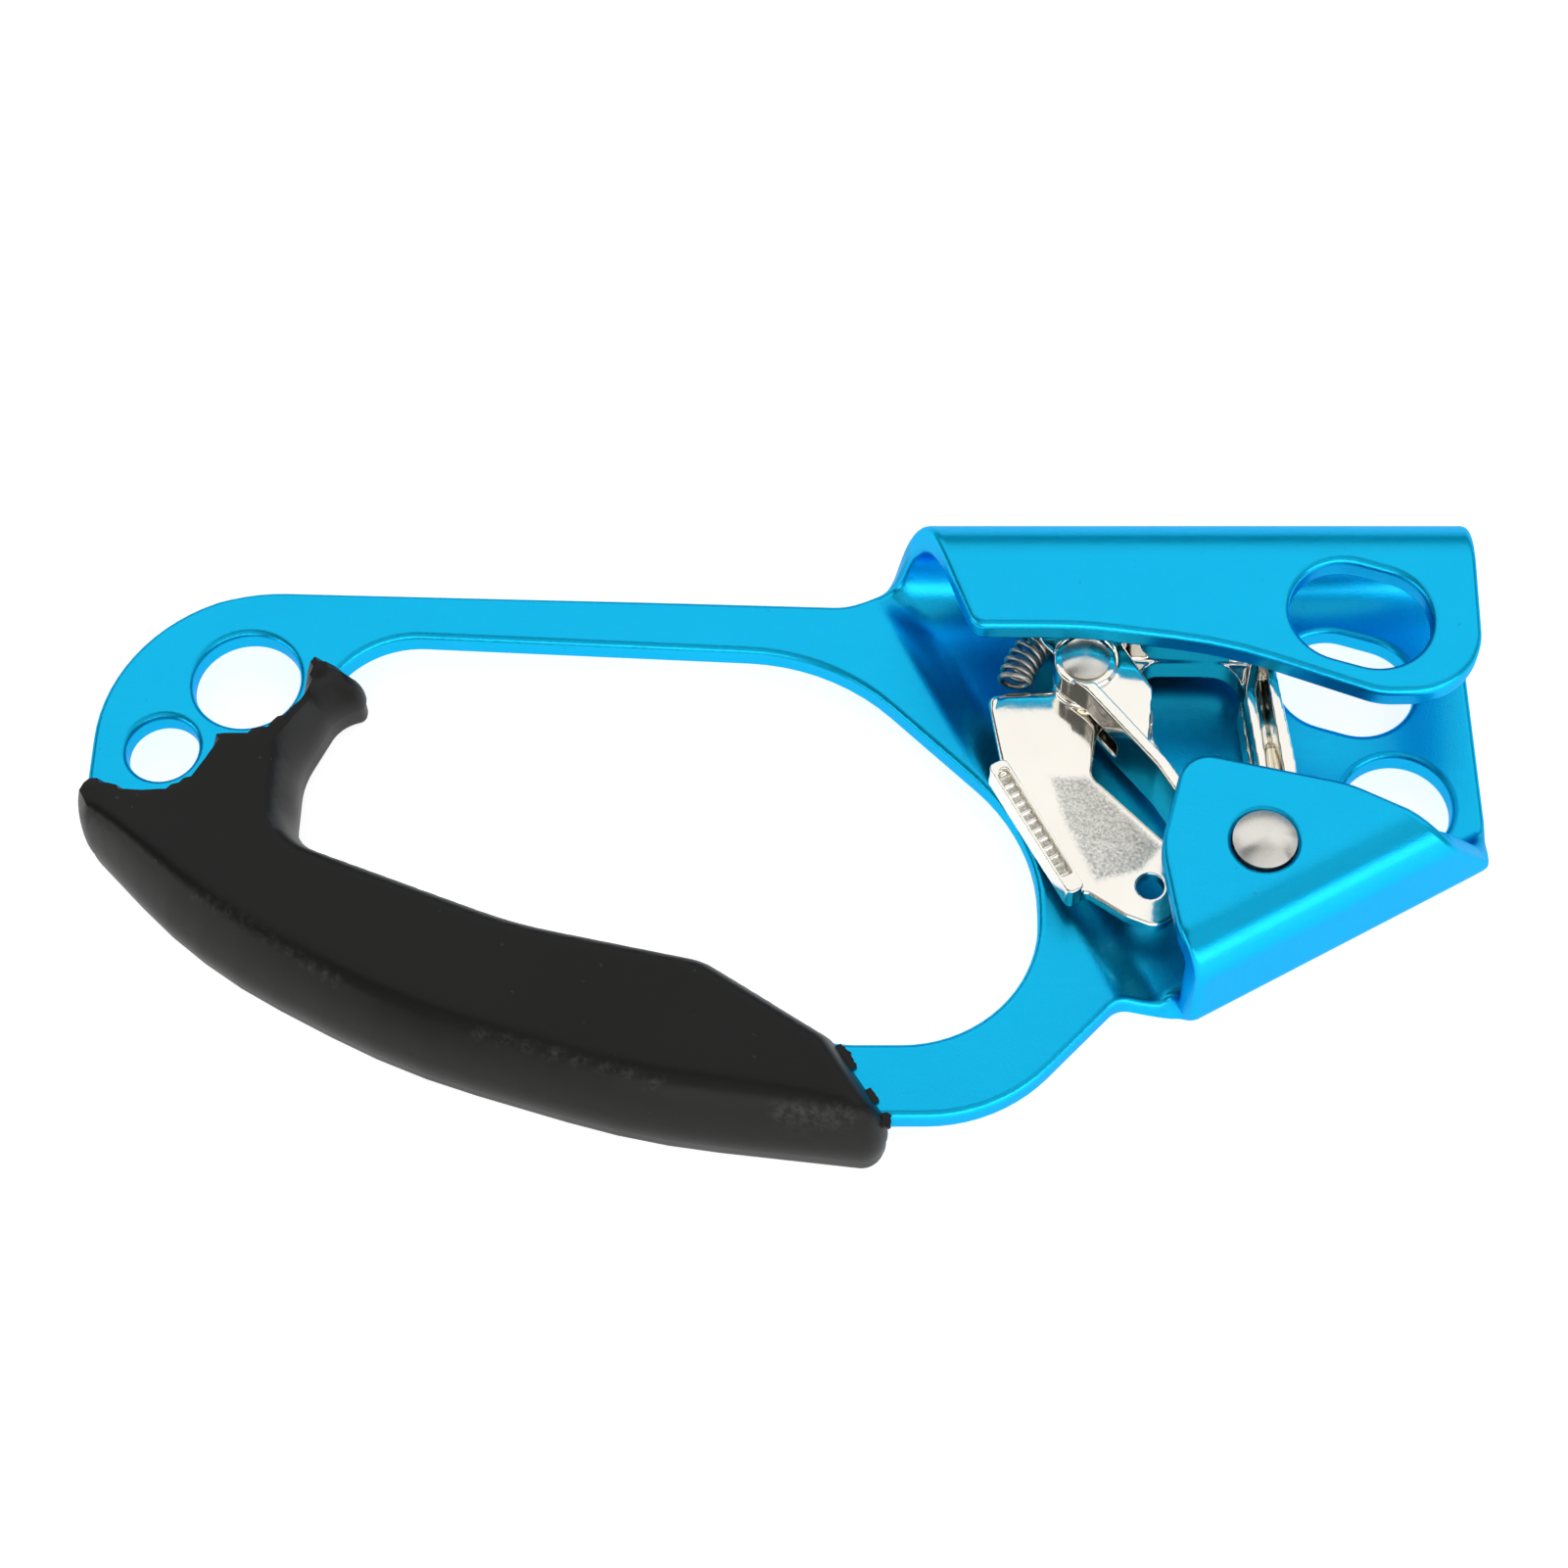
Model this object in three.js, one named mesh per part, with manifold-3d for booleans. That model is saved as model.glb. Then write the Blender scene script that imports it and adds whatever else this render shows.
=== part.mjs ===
// Hand ascender for 8 to 13 mm rope: a folded aluminium sheet frame with a rubber grip, a toothed
// steel cam on a riveted axle, and a thumb trigger riveted to the cam's tip. It lies on its back:
// the rope runs along X in the channel at +Y, and +Z points away from the surface it lies on.
// Plan positions are measured from the cam's axle, and heights from the underside of the grip;
// the last lines move the whole model over the middle of its footprint. Millimetres throughout.
import * as THREE from "three";
import { mergeVertices } from "three/addons/utils/BufferGeometryUtils.js";
import Module from "manifold-3d";

const wasm = await Module();
wasm.setup();

// ---- driving dimensions ------------------------------------------------------------------
const SHEET = 4; // thickness of the frame's sheet
const ROPE_GAP = 14; // clear height between the base plate and the flaps folded over it
const JOGGLE = 2; // the head's base plate lies this much lower than the handle plate
const GRIP_THICKNESS = 13;
const GAP = 0.3; // clearance between pieces that touch or run on each other
const ARC_STEP = THREE.MathUtils.degToRad(15); // longest facet of a rounded corner
const ROUND_SIDES = 28; // facets of a turned piece

// heights
const HANDLE_MID = 5.5;
const HANDLE_TOP = HANDLE_MID + SHEET / 2;
const BASE_MID = HANDLE_MID - JOGGLE;
const BASE_TOP = BASE_MID + SHEET / 2;
const BASE_BOTTOM = BASE_MID - SHEET / 2;
const FLAP_UNDERSIDE = BASE_TOP + ROPE_GAP;
const FLAP_TOP = FLAP_UNDERSIDE + SHEET;

// rope channel: a half-round fold about a line along X
const CHANNEL_START = 42.1; // where the base plate starts to curve up
const CHANNEL_RADIUS = (ROPE_GAP + SHEET) / 2; // to the middle of the sheet
const CHANNEL_ARC = Math.PI * CHANNEL_RADIUS;
const CHANNEL_FLARE = 4; // the bend runs out by this much beyond its left end

// cam cheek fold: two quarter bends with a flat web between, about a slanted line
const FOLD_ANGLE = THREE.MathUtils.degToRad(29.1);
const FOLD_START = 5; // distance from the axle to the first bend
const FOLD_RADIUS = 4.3; // to the middle of the sheet
const FOLD_ARC = (Math.PI / 2) * FOLD_RADIUS;
const FOLD_WEB = ROPE_GAP + SHEET - 2 * FOLD_RADIUS;
const FOLD_LENGTH = 2 * FOLD_ARC + FOLD_WEB;
const FOLD_END = -16.3; // left end of the fold, measured along it
const FOLD_FLARE = 6; // the bend runs out by this much beyond its left end
const FOLD_ALONG = new THREE.Vector2(Math.cos(FOLD_ANGLE), Math.sin(FOLD_ANGLE));
const FOLD_OUT = new THREE.Vector2(Math.sin(FOLD_ANGLE), -Math.cos(FOLD_ANGLE));

// joggle: the slanted step between the handle plate and the head's base plate
const JOGGLE_FROM = new THREE.Vector2(-43.7, 47);
const JOGGLE_TO = new THREE.Vector2(-12.3, -14.4);
const JOGGLE_WIDTH = 6.5;
const JOGGLE_RUN = JOGGLE_TO.clone().sub(JOGGLE_FROM).normalize();
const JOGGLE_ASIDE = new THREE.Vector2(JOGGLE_RUN.y, -JOGGLE_RUN.x);

// axle, cam and trigger
const SHAFT_RADIUS = 3.85;
const SLEEVE_RADIUS = 4.9;
const WASHER_RADIUS = 5.6;
const WASHER_TOP = BASE_TOP + 1; // washer on the base plate
const UPPER_WASHER = FLAP_UNDERSIDE - 1; // underside of the washer below the flap
const HUB_RADIUS = 6.6;
const HUB_BOTTOM = WASHER_TOP + GAP;
const HUB_TOP = 14.4; // the torsion spring sits above it
const CAM_BOTTOM = HANDLE_TOP + 0.35; // clears the handle plate as the cam swings over it
const CAM_TOP = FLAP_UNDERSIDE - 0.65;
const FACE_BULGE = 5.2; // how far the toothed face bulges into the half-round channel
const CAM_FLOOR = 12; // top of the cam's lower ledge
const CHEEK_TOP = 17; // top of the recessed cheek beside the trigger rivet
const LEDGE_TOP = 16.4;
const TOOTH_TIP_RADIUS = 52; // axle to the far end of the toothed face
const TOOTH_TIP_ANGLE = THREE.MathUtils.degToRad(119);
const TOOTH_END_ANGLE = THREE.MathUtils.degToRad(92);
const SPIRAL = 0.28; // growth of the toothed face's radius per radian
const PIVOT = new THREE.Vector2(-21.7, 30.5); // trigger rivet
const BOSS_RADIUS = 4.2; // round the trigger rivet
const BOSS_TOP = 17.6;
const CLEVIS_LOW = 9.6; // slot in the cam that takes the trigger's ear
const CLEVIS_HIGH = 13.2;
const PIN_RADIUS = 1.7;
const TRIGGER_BOTTOM = 10.2;
const TRIGGER_TOP = 12.2;
const RAIL_TOP = 14.5;
const CORD_HOLE = { x: -13.9, y: -0.8, radius: 1.85 };
const SPRING_FROM = new THREE.Vector3(-31, 30, 12); // trigger spring, against the edge of the trigger
const SPRING_TO = new THREE.Vector3(-27.6, 36.8, 12); // and in the cam's tip
const SPRING_BEND = 1.6; // exponent of the bend in its axis
const SEAT_Y = 38.5; // face of the cam's spring seat

// ---- outlines ----------------------------------------------------------------------------
// A corner is [x, y, radius]; the outline is the polygon through them with its corners rounded.
function rounded(corners) {
  const points = [];
  corners.forEach(([x, y, radius], i) => {
    const corner = new THREE.Vector2(x, y);
    const before = corners.at(i - 1);
    const after = corners[(i + 1) % corners.length];
    const back = new THREE.Vector2(before[0] - x, before[1] - y).normalize();
    const ahead = new THREE.Vector2(after[0] - x, after[1] - y).normalize();
    if (!radius) {
      points.push(corner);
      return;
    }
    const half = Math.acos(THREE.MathUtils.clamp(back.dot(ahead), -1, 1)) / 2;
    const reach = radius / Math.sin(half);
    const centre = back.clone().add(ahead).normalize().multiplyScalar(reach).add(corner);
    const start = back.clone().multiplyScalar(radius / Math.tan(half)).add(corner);
    const turn = (Math.PI - 2 * half) * Math.sign(ahead.cross(back));
    const steps = Math.max(2, Math.ceil(Math.abs(turn) / ARC_STEP));
    for (let k = 0; k <= steps; k++) points.push(start.clone().rotateAround(centre, (turn * k) / steps));
  });
  return points;
}

function circle(x, y, radius, sides = ROUND_SIDES) {
  return Array.from({ length: sides }, (_, k) => {
    const angle = (2 * Math.PI * k) / sides;
    return new THREE.Vector2(x + radius * Math.cos(angle), y + radius * Math.sin(angle));
  });
}

// Two half circles joined by straight sides.
function stadium(from, to, radius) {
  const along = to.clone().sub(from).angle();
  const points = [];
  for (const [centre, first] of [[to, along - Math.PI / 2], [from, along + Math.PI / 2]]) {
    for (let k = 0; k <= 12; k++) {
      const angle = first + (Math.PI * k) / 12;
      const spoke = new THREE.Vector2(radius * Math.cos(angle), radius * Math.sin(angle));
      points.push(spoke.add(centre));
    }
  }
  return points;
}

const corners = (...list) => list.map(([x, y]) => new THREE.Vector2(x, y));

// Moves a counter-clockwise outline outwards by a distance (inwards if it is negative).
function offset(points, distance) {
  return points.map((point, i) => {
    const along = points[(i + 1) % points.length].clone().sub(points.at(i - 1)).normalize();
    return new THREE.Vector2(point.x + along.y * distance, point.y - along.x * distance);
  });
}

// ---- solids ------------------------------------------------------------------------------
// A closed indexed geometry with its faces pointing out.
function closed(geometry) {
  const bare = geometry.clone();
  for (const name of Object.keys(bare.attributes)) if (name !== "position") bare.deleteAttribute(name);
  const merged = mergeVertices(bare, 1e-4);
  const { array } = merged.getAttribute("position");
  const faces = [];
  let volume = 0;
  const corner = (i) => new THREE.Vector3().fromArray(array, 3 * i);
  for (let i = 0; i < merged.index.count; i += 3) {
    const [a, b, c] = [0, 1, 2].map((k) => merged.index.getX(i + k));
    if (a === b || b === c || c === a) continue;
    faces.push([a, b, c]);
    volume += corner(a).dot(corner(b).cross(corner(c)));
  }
  merged.setIndex(faces.flatMap(([a, b, c]) => (volume > 0 ? [a, b, c] : [a, c, b])));
  return merged;
}

function solid(geometry) {
  const { attributes, index } = closed(geometry);
  const vertProperties = new Float32Array(attributes.position.array);
  const triVerts = new Uint32Array(index.array);
  return new wasm.Manifold(new wasm.Mesh({ numProp: 3, vertProperties, triVerts }));
}

function surface(manifold) {
  const { vertProperties, triVerts } = manifold.getMesh();
  const geometry = new THREE.BufferGeometry();
  geometry.setAttribute("position", new THREE.BufferAttribute(vertProperties, 3));
  geometry.setIndex(new THREE.BufferAttribute(triVerts, 1));
  geometry.computeVertexNormals();
  return geometry;
}

// A flat plate with straight sides between two heights.
function plate(outline, low, high, holes = []) {
  const shape = new THREE.Shape(outline);
  shape.holes = holes.map((hole) => new THREE.Path(hole));
  const geometry = new THREE.ExtrudeGeometry(shape, { depth: high - low, bevelEnabled: false });
  return solid(geometry.translate(0, 0, low));
}

// A turned piece about a vertical axis: the profile is a list of [radius, height].
function turned(profile, x = 0, y = 0) {
  const geometry = new THREE.LatheGeometry(profile.map(([r, z]) => new THREE.Vector2(r, z)), ROUND_SIDES);
  return solid(geometry.rotateX(Math.PI / 2).translate(x, y, 0));
}

function ring(inner, outer, low, high) {
  return turned([[inner, low], [outer, low], [outer, high], [inner, high], [inner, low]]);
}

function disc(radius, low, high, x = 0, y = 0) {
  return turned([[0, low], [radius, low], [radius, high], [0, high]], x, y);
}

// Round wire along a list of points.
function wire(points, radius) {
  const section = new THREE.Shape(circle(0, 0, radius, 8));
  const extrudePath = new THREE.CatmullRomCurve3(points);
  const steps = points.length - 1;
  return solid(new THREE.ExtrudeGeometry(section, { steps, extrudePath, bevelEnabled: false }));
}

// A dome's profile from its rim up to its top on the axis.
function dome(radius, low, height) {
  const ball = (radius * radius + height * height) / (2 * height);
  return [0.35, 0.65, 0.85, 1].map((share) => {
    const r = radius * Math.cos((share * Math.PI) / 2);
    return [share === 1 ? 0 : r, low + height - ball + Math.sqrt(ball * ball - r * r)];
  });
}

// ---- frame: a flat blank, cut out and then folded ------------------------------------------
// Places of flap corners in the flat blank.
const unfoldChannel = (x, y, radius) => [x, 2 * CHANNEL_START + CHANNEL_ARC - y, radius];

function unfoldCheek(x, y, radius) {
  const point = new THREE.Vector2(x, y);
  const out = 2 * FOLD_START + FOLD_LENGTH - point.dot(FOLD_OUT);
  const along = point.dot(FOLD_ALONG);
  return [along * FOLD_ALONG.x + out * FOLD_OUT.x, along * FOLD_ALONG.y + out * FOLD_OUT.y, radius];
}

const onFold = (along, out, radius) => [
  along * FOLD_ALONG.x + out * FOLD_OUT.x,
  along * FOLD_ALONG.y + out * FOLD_OUT.y,
  radius,
];

const BLANK = rounded([
  [-156.1, 48.8, 23.5], // handle's lower end
  [-156.1, 13.5, 12],
  [-131, -10, 60], // bar inside the grip
  [-97, -26, 80],
  [-64, -31.4, 60],
  [-33.9, -31.4, 22], // neck
  [-18.2, -14.9, 4],
  onFold(FOLD_END, 8.2, 2),
  onFold(FOLD_END, FOLD_START + FOLD_LENGTH - 0.6, 10),
  unfoldCheek(-13.3, -0.5, 12), // cam cheek
  unfoldCheek(-9.5, 13.6, 4.2),
  unfoldCheek(11.5, 8.7, 15),
  onFold(32.4, 8, 3), // foot of the head's right edge
  unfoldChannel(30.4, 22.2, 10.2), // rope channel's flap
  unfoldChannel(16.5, 21.9, 10),
  unfoldChannel(-3.2, 29.5, 60),
  unfoldChannel(-22, 32.2, 60),
  unfoldChannel(-36.8, 32.3, 2.4),
  [-44.8, 58, 15],
  [-49.2, 45.3, 9], // flare between the channel and the handle
]);

const WINDOW = rounded([
  [-123.6, 40.8, 13],
  [-126.3, 27, 12],
  [-129.4, 18.5, 14],
  [-129.3, 4.5, 9],
  [-107, -2.8, 50],
  [-72, -12.3, 30],
  [-56, -21, 14],
  [-28.4, -21, 18],
  [-28.4, 9.8, 26],
  [-56, 37.3, 30],
]);

const EYE_FROM = new THREE.Vector2(12.9, 34.8); // ends of the long hole for a karabiner
const EYE_TO = new THREE.Vector2(16.6, 33.6);
const EYE_RADIUS = 7.6;

const HOLES = [
  WINDOW,
  circle(-136.1, 33.4, 7.3), // foot-loop hole
  circle(-146.5, 22.7, 4.85), // small hole
  circle(20.4, 15, 7.4), // round hole in the head
  stadium(EYE_FROM, EYE_TO, EYE_RADIUS),
  stadium(...[EYE_TO, EYE_FROM].map(({ x, y }) => new THREE.Vector2(...unfoldChannel(x, y))), EYE_RADIUS),
  circle(0, 0, SHAFT_RADIUS + GAP),
  circle(...unfoldCheek(0, 0, SHAFT_RADIUS + GAP)),
];

// Where a point of the blank goes when the sheet is folded; lift is its height above mid-sheet.
function folded(u, v, lift) {
  const place = new THREE.Vector3(u, v, BASE_MID + lift);
  let flat = 1;
  const channelStart = CHANNEL_START + CHANNEL_FLARE * THREE.MathUtils.smoothstep(-u, 45, 52);
  const intoChannel = v - channelStart;
  if (intoChannel > 0) {
    const turn = Math.min(intoChannel / CHANNEL_RADIUS, Math.PI);
    const radius = CHANNEL_RADIUS - lift;
    place.y = channelStart + radius * Math.sin(turn) - Math.max(0, intoChannel - CHANNEL_ARC);
    place.z = BASE_MID + CHANNEL_RADIUS - radius * Math.cos(turn);
    flat = Math.max(0, Math.cos(turn));
  }
  const along = u * FOLD_ALONG.x + v * FOLD_ALONG.y;
  const out = u * FOLD_OUT.x + v * FOLD_OUT.y;
  const past = THREE.MathUtils.smoothstep(-along, -FOLD_END, FOLD_FLARE - FOLD_END);
  const foldStart = FOLD_START + FOLD_FLARE * past;
  const intoFold = out - foldStart;
  if (intoFold > 0 && along > FOLD_END - 7) {
    const first = Math.min(intoFold / FOLD_RADIUS, Math.PI / 2);
    const web = THREE.MathUtils.clamp(intoFold - FOLD_ARC, 0, FOLD_WEB);
    const second = THREE.MathUtils.clamp((intoFold - FOLD_ARC - FOLD_WEB) / FOLD_RADIUS, 0, Math.PI / 2);
    const radius = FOLD_RADIUS - lift;
    const reach = foldStart + radius * Math.sin(first + second) - Math.max(0, intoFold - FOLD_LENGTH);
    place.addScaledVector(new THREE.Vector3(FOLD_OUT.x, FOLD_OUT.y, 0), reach - out);
    place.z = BASE_MID + FOLD_RADIUS + web - radius * Math.cos(first + second);
    flat = Math.max(0, Math.cos(first));
  }
  const aside = (u - JOGGLE_FROM.x) * JOGGLE_ASIDE.x + (v - JOGGLE_FROM.y) * JOGGLE_ASIDE.y;
  place.z += JOGGLE * flat * THREE.MathUtils.smoothstep(aside, 0, JOGGLE_WIDTH);
  return place;
}

// Splits flat triangles along the line where point.dot(normal) equals reach.
function split(triangles, normal, reach) {
  const pieces = [];
  for (const triangle of triangles) {
    const sides = triangle.map((point) => {
      const side = point.dot(normal) - reach;
      return Math.abs(side) < 1e-4 ? 0 : side;
    });
    for (const sign of [1, -1]) {
      const kept = [];
      triangle.forEach((point, i) => {
        const next = (i + 1) % 3;
        if (sides[i] * sign >= 0) kept.push(point);
        const share = sides[i] / (sides[i] - sides[next]);
        if (sides[i] * sides[next] < 0) kept.push(point.clone().lerp(triangle[next], share));
      });
      const crosses = sides.some((side) => side * sign > 0);
      for (let i = 2; crosses && i < kept.length; i++) pieces.push([kept[0], kept[i - 1], kept[i]]);
    }
  }
  return pieces;
}

function makeFrame() {
  const holes = HOLES.map((hole) => [...hole].reverse());
  const all = [BLANK, ...holes].flat();
  let triangles = THREE.ShapeUtils.triangulateShape(BLANK, holes).map((face) => face.map((i) => all[i]));
  const up = new THREE.Vector2(0, 1);
  for (let k = 0; k <= 8; k++) triangles = split(triangles, up, CHANNEL_START + (CHANNEL_ARC * k) / 8);
  for (let k = 0; k <= 4; k++) {
    triangles = split(triangles, FOLD_OUT, FOLD_START + (FOLD_ARC * k) / 4);
    triangles = split(triangles, FOLD_OUT, FOLD_START + FOLD_ARC + FOLD_WEB + (FOLD_ARC * k) / 4);
    triangles = split(triangles, JOGGLE_ASIDE, JOGGLE_FROM.dot(JOGGLE_ASIDE) + (JOGGLE_WIDTH * k) / 4);
  }
  const numbers = new Map();
  const points = [];
  const number = (point) => {
    const key = `${point.x.toFixed(3)} ${point.y.toFixed(3)}`;
    if (!numbers.has(key)) numbers.set(key, points.push(point) - 1);
    return numbers.get(key);
  };
  const numbered = triangles.map((triangle) => triangle.map(number));
  const faces = numbered.filter(([a, b, c]) => a !== b && b !== c && c !== a);
  const edges = new Set(faces.flatMap(([a, b, c]) => [`${a} ${b}`, `${b} ${c}`, `${c} ${a}`]));
  const above = points.length;
  const index = faces.flatMap(([a, b, c]) => [a + above, b + above, c + above, a, c, b]);
  for (const edge of edges) {
    const [a, b] = edge.split(" ").map(Number);
    if (!edges.has(`${b} ${a}`)) index.push(a, b, b + above, a, b + above, a + above);
  }
  const places = [-SHEET / 2, SHEET / 2].flatMap((lift) => points.map(({ x, y }) => folded(x, y, lift)));
  const geometry = new THREE.BufferGeometry().setFromPoints(places);
  geometry.setIndex(index);
  return solid(geometry);
}

// ---- grip ----------------------------------------------------------------------------------
const GRIP = rounded([
  [-156.7, 16.2, 2],
  [-156.7, 10.4, 8],
  [-139.5, -7.6, 80],
  [-112, -22.6, 110],
  [-80, -32.6, 110],
  [-49.6, -36.2, 3.2],
  [-47.7, -32, 3.2],
  [-55, -20.5, 4],
  [-71.5, -9.5, 4],
  [-96.4, -4, 60],
  [-127.9, 8.5, 7],
  [-127.8, 20.5, 12],
  [-123.6, 29.5, 5], // horn that hooks over the handle plate
  [-119.9, 30.6, 1.6],
  [-120, 33.1, 1.6],
  [-127.3, 36.4, 2.2],
  [-129.8, 22.9, 8.6], // edge follows the foot-loop hole
  [-138.9, 23.4, 1.6],
  [-142.3, 11.8, 7.4], // edge follows the small hole
  [-152.8, 16.4, 3],
]);

function makeGrip() {
  const round = 1.5;
  const bevel = { bevelSize: round, bevelThickness: round, bevelOffset: -round, bevelSegments: 3 };
  const depth = GRIP_THICKNESS - 2 * round;
  const block = new THREE.ExtrudeGeometry(new THREE.Shape(GRIP), { depth, ...bevel });
  const body = solid(block.translate(0, 0, round));
  const low = HANDLE_TOP - SHEET - GAP;
  const high = HANDLE_TOP + GAP;
  return body.subtract(plate(offset(BLANK, GAP), low, high, [offset(WINDOW, -GAP)]));
}

// ---- cam -----------------------------------------------------------------------------------
function spiralPoint(angle, extra = 0) {
  const radius = TOOTH_TIP_RADIUS * Math.exp(-SPIRAL * (TOOTH_TIP_ANGLE - angle)) + extra;
  return new THREE.Vector2(radius * Math.cos(angle), radius * Math.sin(angle));
}

function toothedFace() {
  const steps = 12;
  return Array.from({ length: steps + 1 }, (_, k) => {
    return spiralPoint(TOOTH_END_ANGLE + ((TOOTH_TIP_ANGLE - TOOTH_END_ANGLE) * k) / steps);
  });
}

// A bar along X that ends towards +Y in a half ellipse centred on the rope channel.
function channelBar(bulge, halfHeight) {
  const end = Array.from({ length: 17 }, (_, k) => {
    const angle = (Math.PI * k) / 16 - Math.PI / 2;
    const height = BASE_MID + CHANNEL_RADIUS + halfHeight * Math.sin(angle);
    return [CHANNEL_START + bulge * Math.cos(angle), height];
  });
  const shape = new THREE.Shape(corners([-60, end[0][1]], ...end, [-60, end.at(-1)[1]]));
  const geometry = new THREE.ExtrudeGeometry(shape, { depth: 100, bevelEnabled: false });
  return solid(geometry.translate(0, 0, -60).rotateX(Math.PI / 2).rotateZ(Math.PI / 2));
}

const TOOTH = 1.9; // height and width of a tooth
const TOOTH_HOOK = 0.3; // lean of a tooth towards the rope's pull

// Staggered columns of small hooked teeth standing on the toothed face.
function teeth() {
  const rows = 10;
  const columns = 4;
  const pitch = 2.4;
  let all = null;
  for (let row = 0; row < rows; row++) {
    const angle = TOOTH_END_ANGLE + ((TOOTH_TIP_ANGLE - TOOTH_END_ANGLE) * (row + 0.7)) / (rows + 0.4);
    for (let column = 0; column < columns - (row % 2); column++) {
      const foot = spiralPoint(angle, -0.5);
      const height = CAM_BOTTOM + 1.9 + pitch * (column + (row % 2) / 2);
      const aside = (height - BASE_MID - CHANNEL_RADIUS) / (ROPE_GAP / 2);
      foot.y = Math.min(foot.y, CHANNEL_START - 0.3 + FACE_BULGE * Math.sqrt(1 - aside * aside));
      const tooth = new THREE.ConeGeometry(TOOTH / 2, TOOTH, 6).translate(0, TOOTH / 2, 0);
      tooth.rotateZ(angle - Math.PI / 2 - TOOTH_HOOK);
      const placed = solid(tooth.translate(foot.x, foot.y, height));
      all = all ? all.add(placed) : placed;
    }
  }
  return all;
}

function makeCam() {
  const body = [
    ...toothedFace(),
    ...rounded([
      [-28.6, 43, 2],
      [-29.3, 40, 2],
      [-27.7, 33.8, 4],
      [-25.6, 31.4, 2],
      [-25.6, 28.4, 3.6],
      [-21.8, 25.2, 1],
      [-12.9, 13.8, 3],
      [-6.6, 3, 0],
      [-5.4, -1, 0],
      [5.6, 3.4, 0],
      [5.3, 14, 20],
      [3.3, 38, 12],
    ]),
  ];
  const opening = rounded([
    [-16, 33.5, 3],
    [-12.4, 26, 2],
    [-12.6, 21.5, 2],
    [-8.6, 13, 3],
    [-4.5, 9.6, 3],
    [0.9, 11.5, 2.5],
    [-0.7, 33.3, 4],
  ]);
  const cheek = corners(
    [-29, 34],
    [-22, 24],
    [-13.9, 16.8],
    [-12.8, 26.4],
    [-16.6, 33.4],
    [-16.6, 36],
    [-29, 36],
  );
  const head = corners([-40, 35.2], [10, 32.6], [10, 60], [-40, 60]);
  const leftRim = corners(
    [-25.6, 28.4],
    [-21.8, 25.2],
    [-12.9, 13.8],
    [-9.6, 8],
    [-7.6, 8],
    [-11.5, 14.6],
    [-20, 25.6],
    [-25.4, 32],
  );
  const ledge = corners([2.4, 33], [0.9, 33], [-0.9, 26.3], [0.6, 10], [2.4, 10]);
  const innerRim = corners([0.9, 33], [-0.5, 26.3], [1.1, 11], [2.3, 11], [1.0, 26.3], [2.3, 33]);
  const rim = corners([2, 35], [2.4, 26.3], [3.9, 10], [6.2, 10], [5.3, 14], [3.6, 27.9], [3.2, 35]);
  const within = plate(body, CAM_BOTTOM, CAM_TOP, [opening]);
  const outside = plate(body, CAM_BOTTOM, CAM_TOP);
  let cam = plate(body, CAM_BOTTOM, CAM_FLOOR, [opening])
    .add(plate(cheek.reverse(), CAM_BOTTOM, CHEEK_TOP).intersect(within))
    .add(plate(head, CAM_BOTTOM, CAM_TOP).intersect(within))
    .add(plate(leftRim, CAM_BOTTOM, CAM_TOP).intersect(within))
    .add(plate(ledge, CAM_BOTTOM, CAM_FLOOR + 0.5).intersect(outside))
    .add(plate(innerRim.reverse(), CAM_BOTTOM, LEDGE_TOP).intersect(outside))
    .add(plate(rim.reverse(), CAM_BOTTOM, CAM_TOP).intersect(outside))
    .intersect(channelBar(FACE_BULGE, ROPE_GAP / 2))
    .add(teeth())
    .intersect(channelBar(ROPE_GAP / 2 - 0.35, ROPE_GAP / 2));
  const overHub = disc(HUB_RADIUS + 0.4, HUB_TOP, CAM_TOP + 1);
  cam = cam.subtract(overHub).add(disc(HUB_RADIUS, HUB_BOTTOM, HUB_TOP));
  cam = cam.subtract(disc(SLEEVE_RADIUS + GAP, 0, CAM_TOP + 1));
  const clevis = corners([-42, 20], [-15.6, 20], [-15.6, SEAT_Y], [-42, SEAT_Y]);
  cam = cam.subtract(plate(clevis, CLEVIS_LOW, CLEVIS_HIGH));
  const springRoom = corners([-42, 30], [-26.4, 30], [-24.8, 34], [-24.8, SEAT_Y], [-42, SEAT_Y]);
  cam = cam.subtract(plate(springRoom, CAM_BOTTOM - 1, 16.4));
  cam = cam.subtract(disc(BOSS_RADIUS, BOSS_TOP, CAM_TOP + 1, PIVOT.x, PIVOT.y));
  cam = cam.add(disc(BOSS_RADIUS, CLEVIS_HIGH, BOSS_TOP, PIVOT.x, PIVOT.y));
  cam = cam.add(disc(BOSS_RADIUS, CAM_BOTTOM, CLEVIS_LOW, PIVOT.x, PIVOT.y));
  cam = cam.subtract(disc(PIN_RADIUS + GAP, 0, CAM_TOP + 1, PIVOT.x, PIVOT.y));
  const cleaning = stadium(new THREE.Vector2(-20.5, 42.1), new THREE.Vector2(-6, 41), 1.3);
  return cam.subtract(plate(cleaning, 0, CAM_TOP + 1));
}

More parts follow.
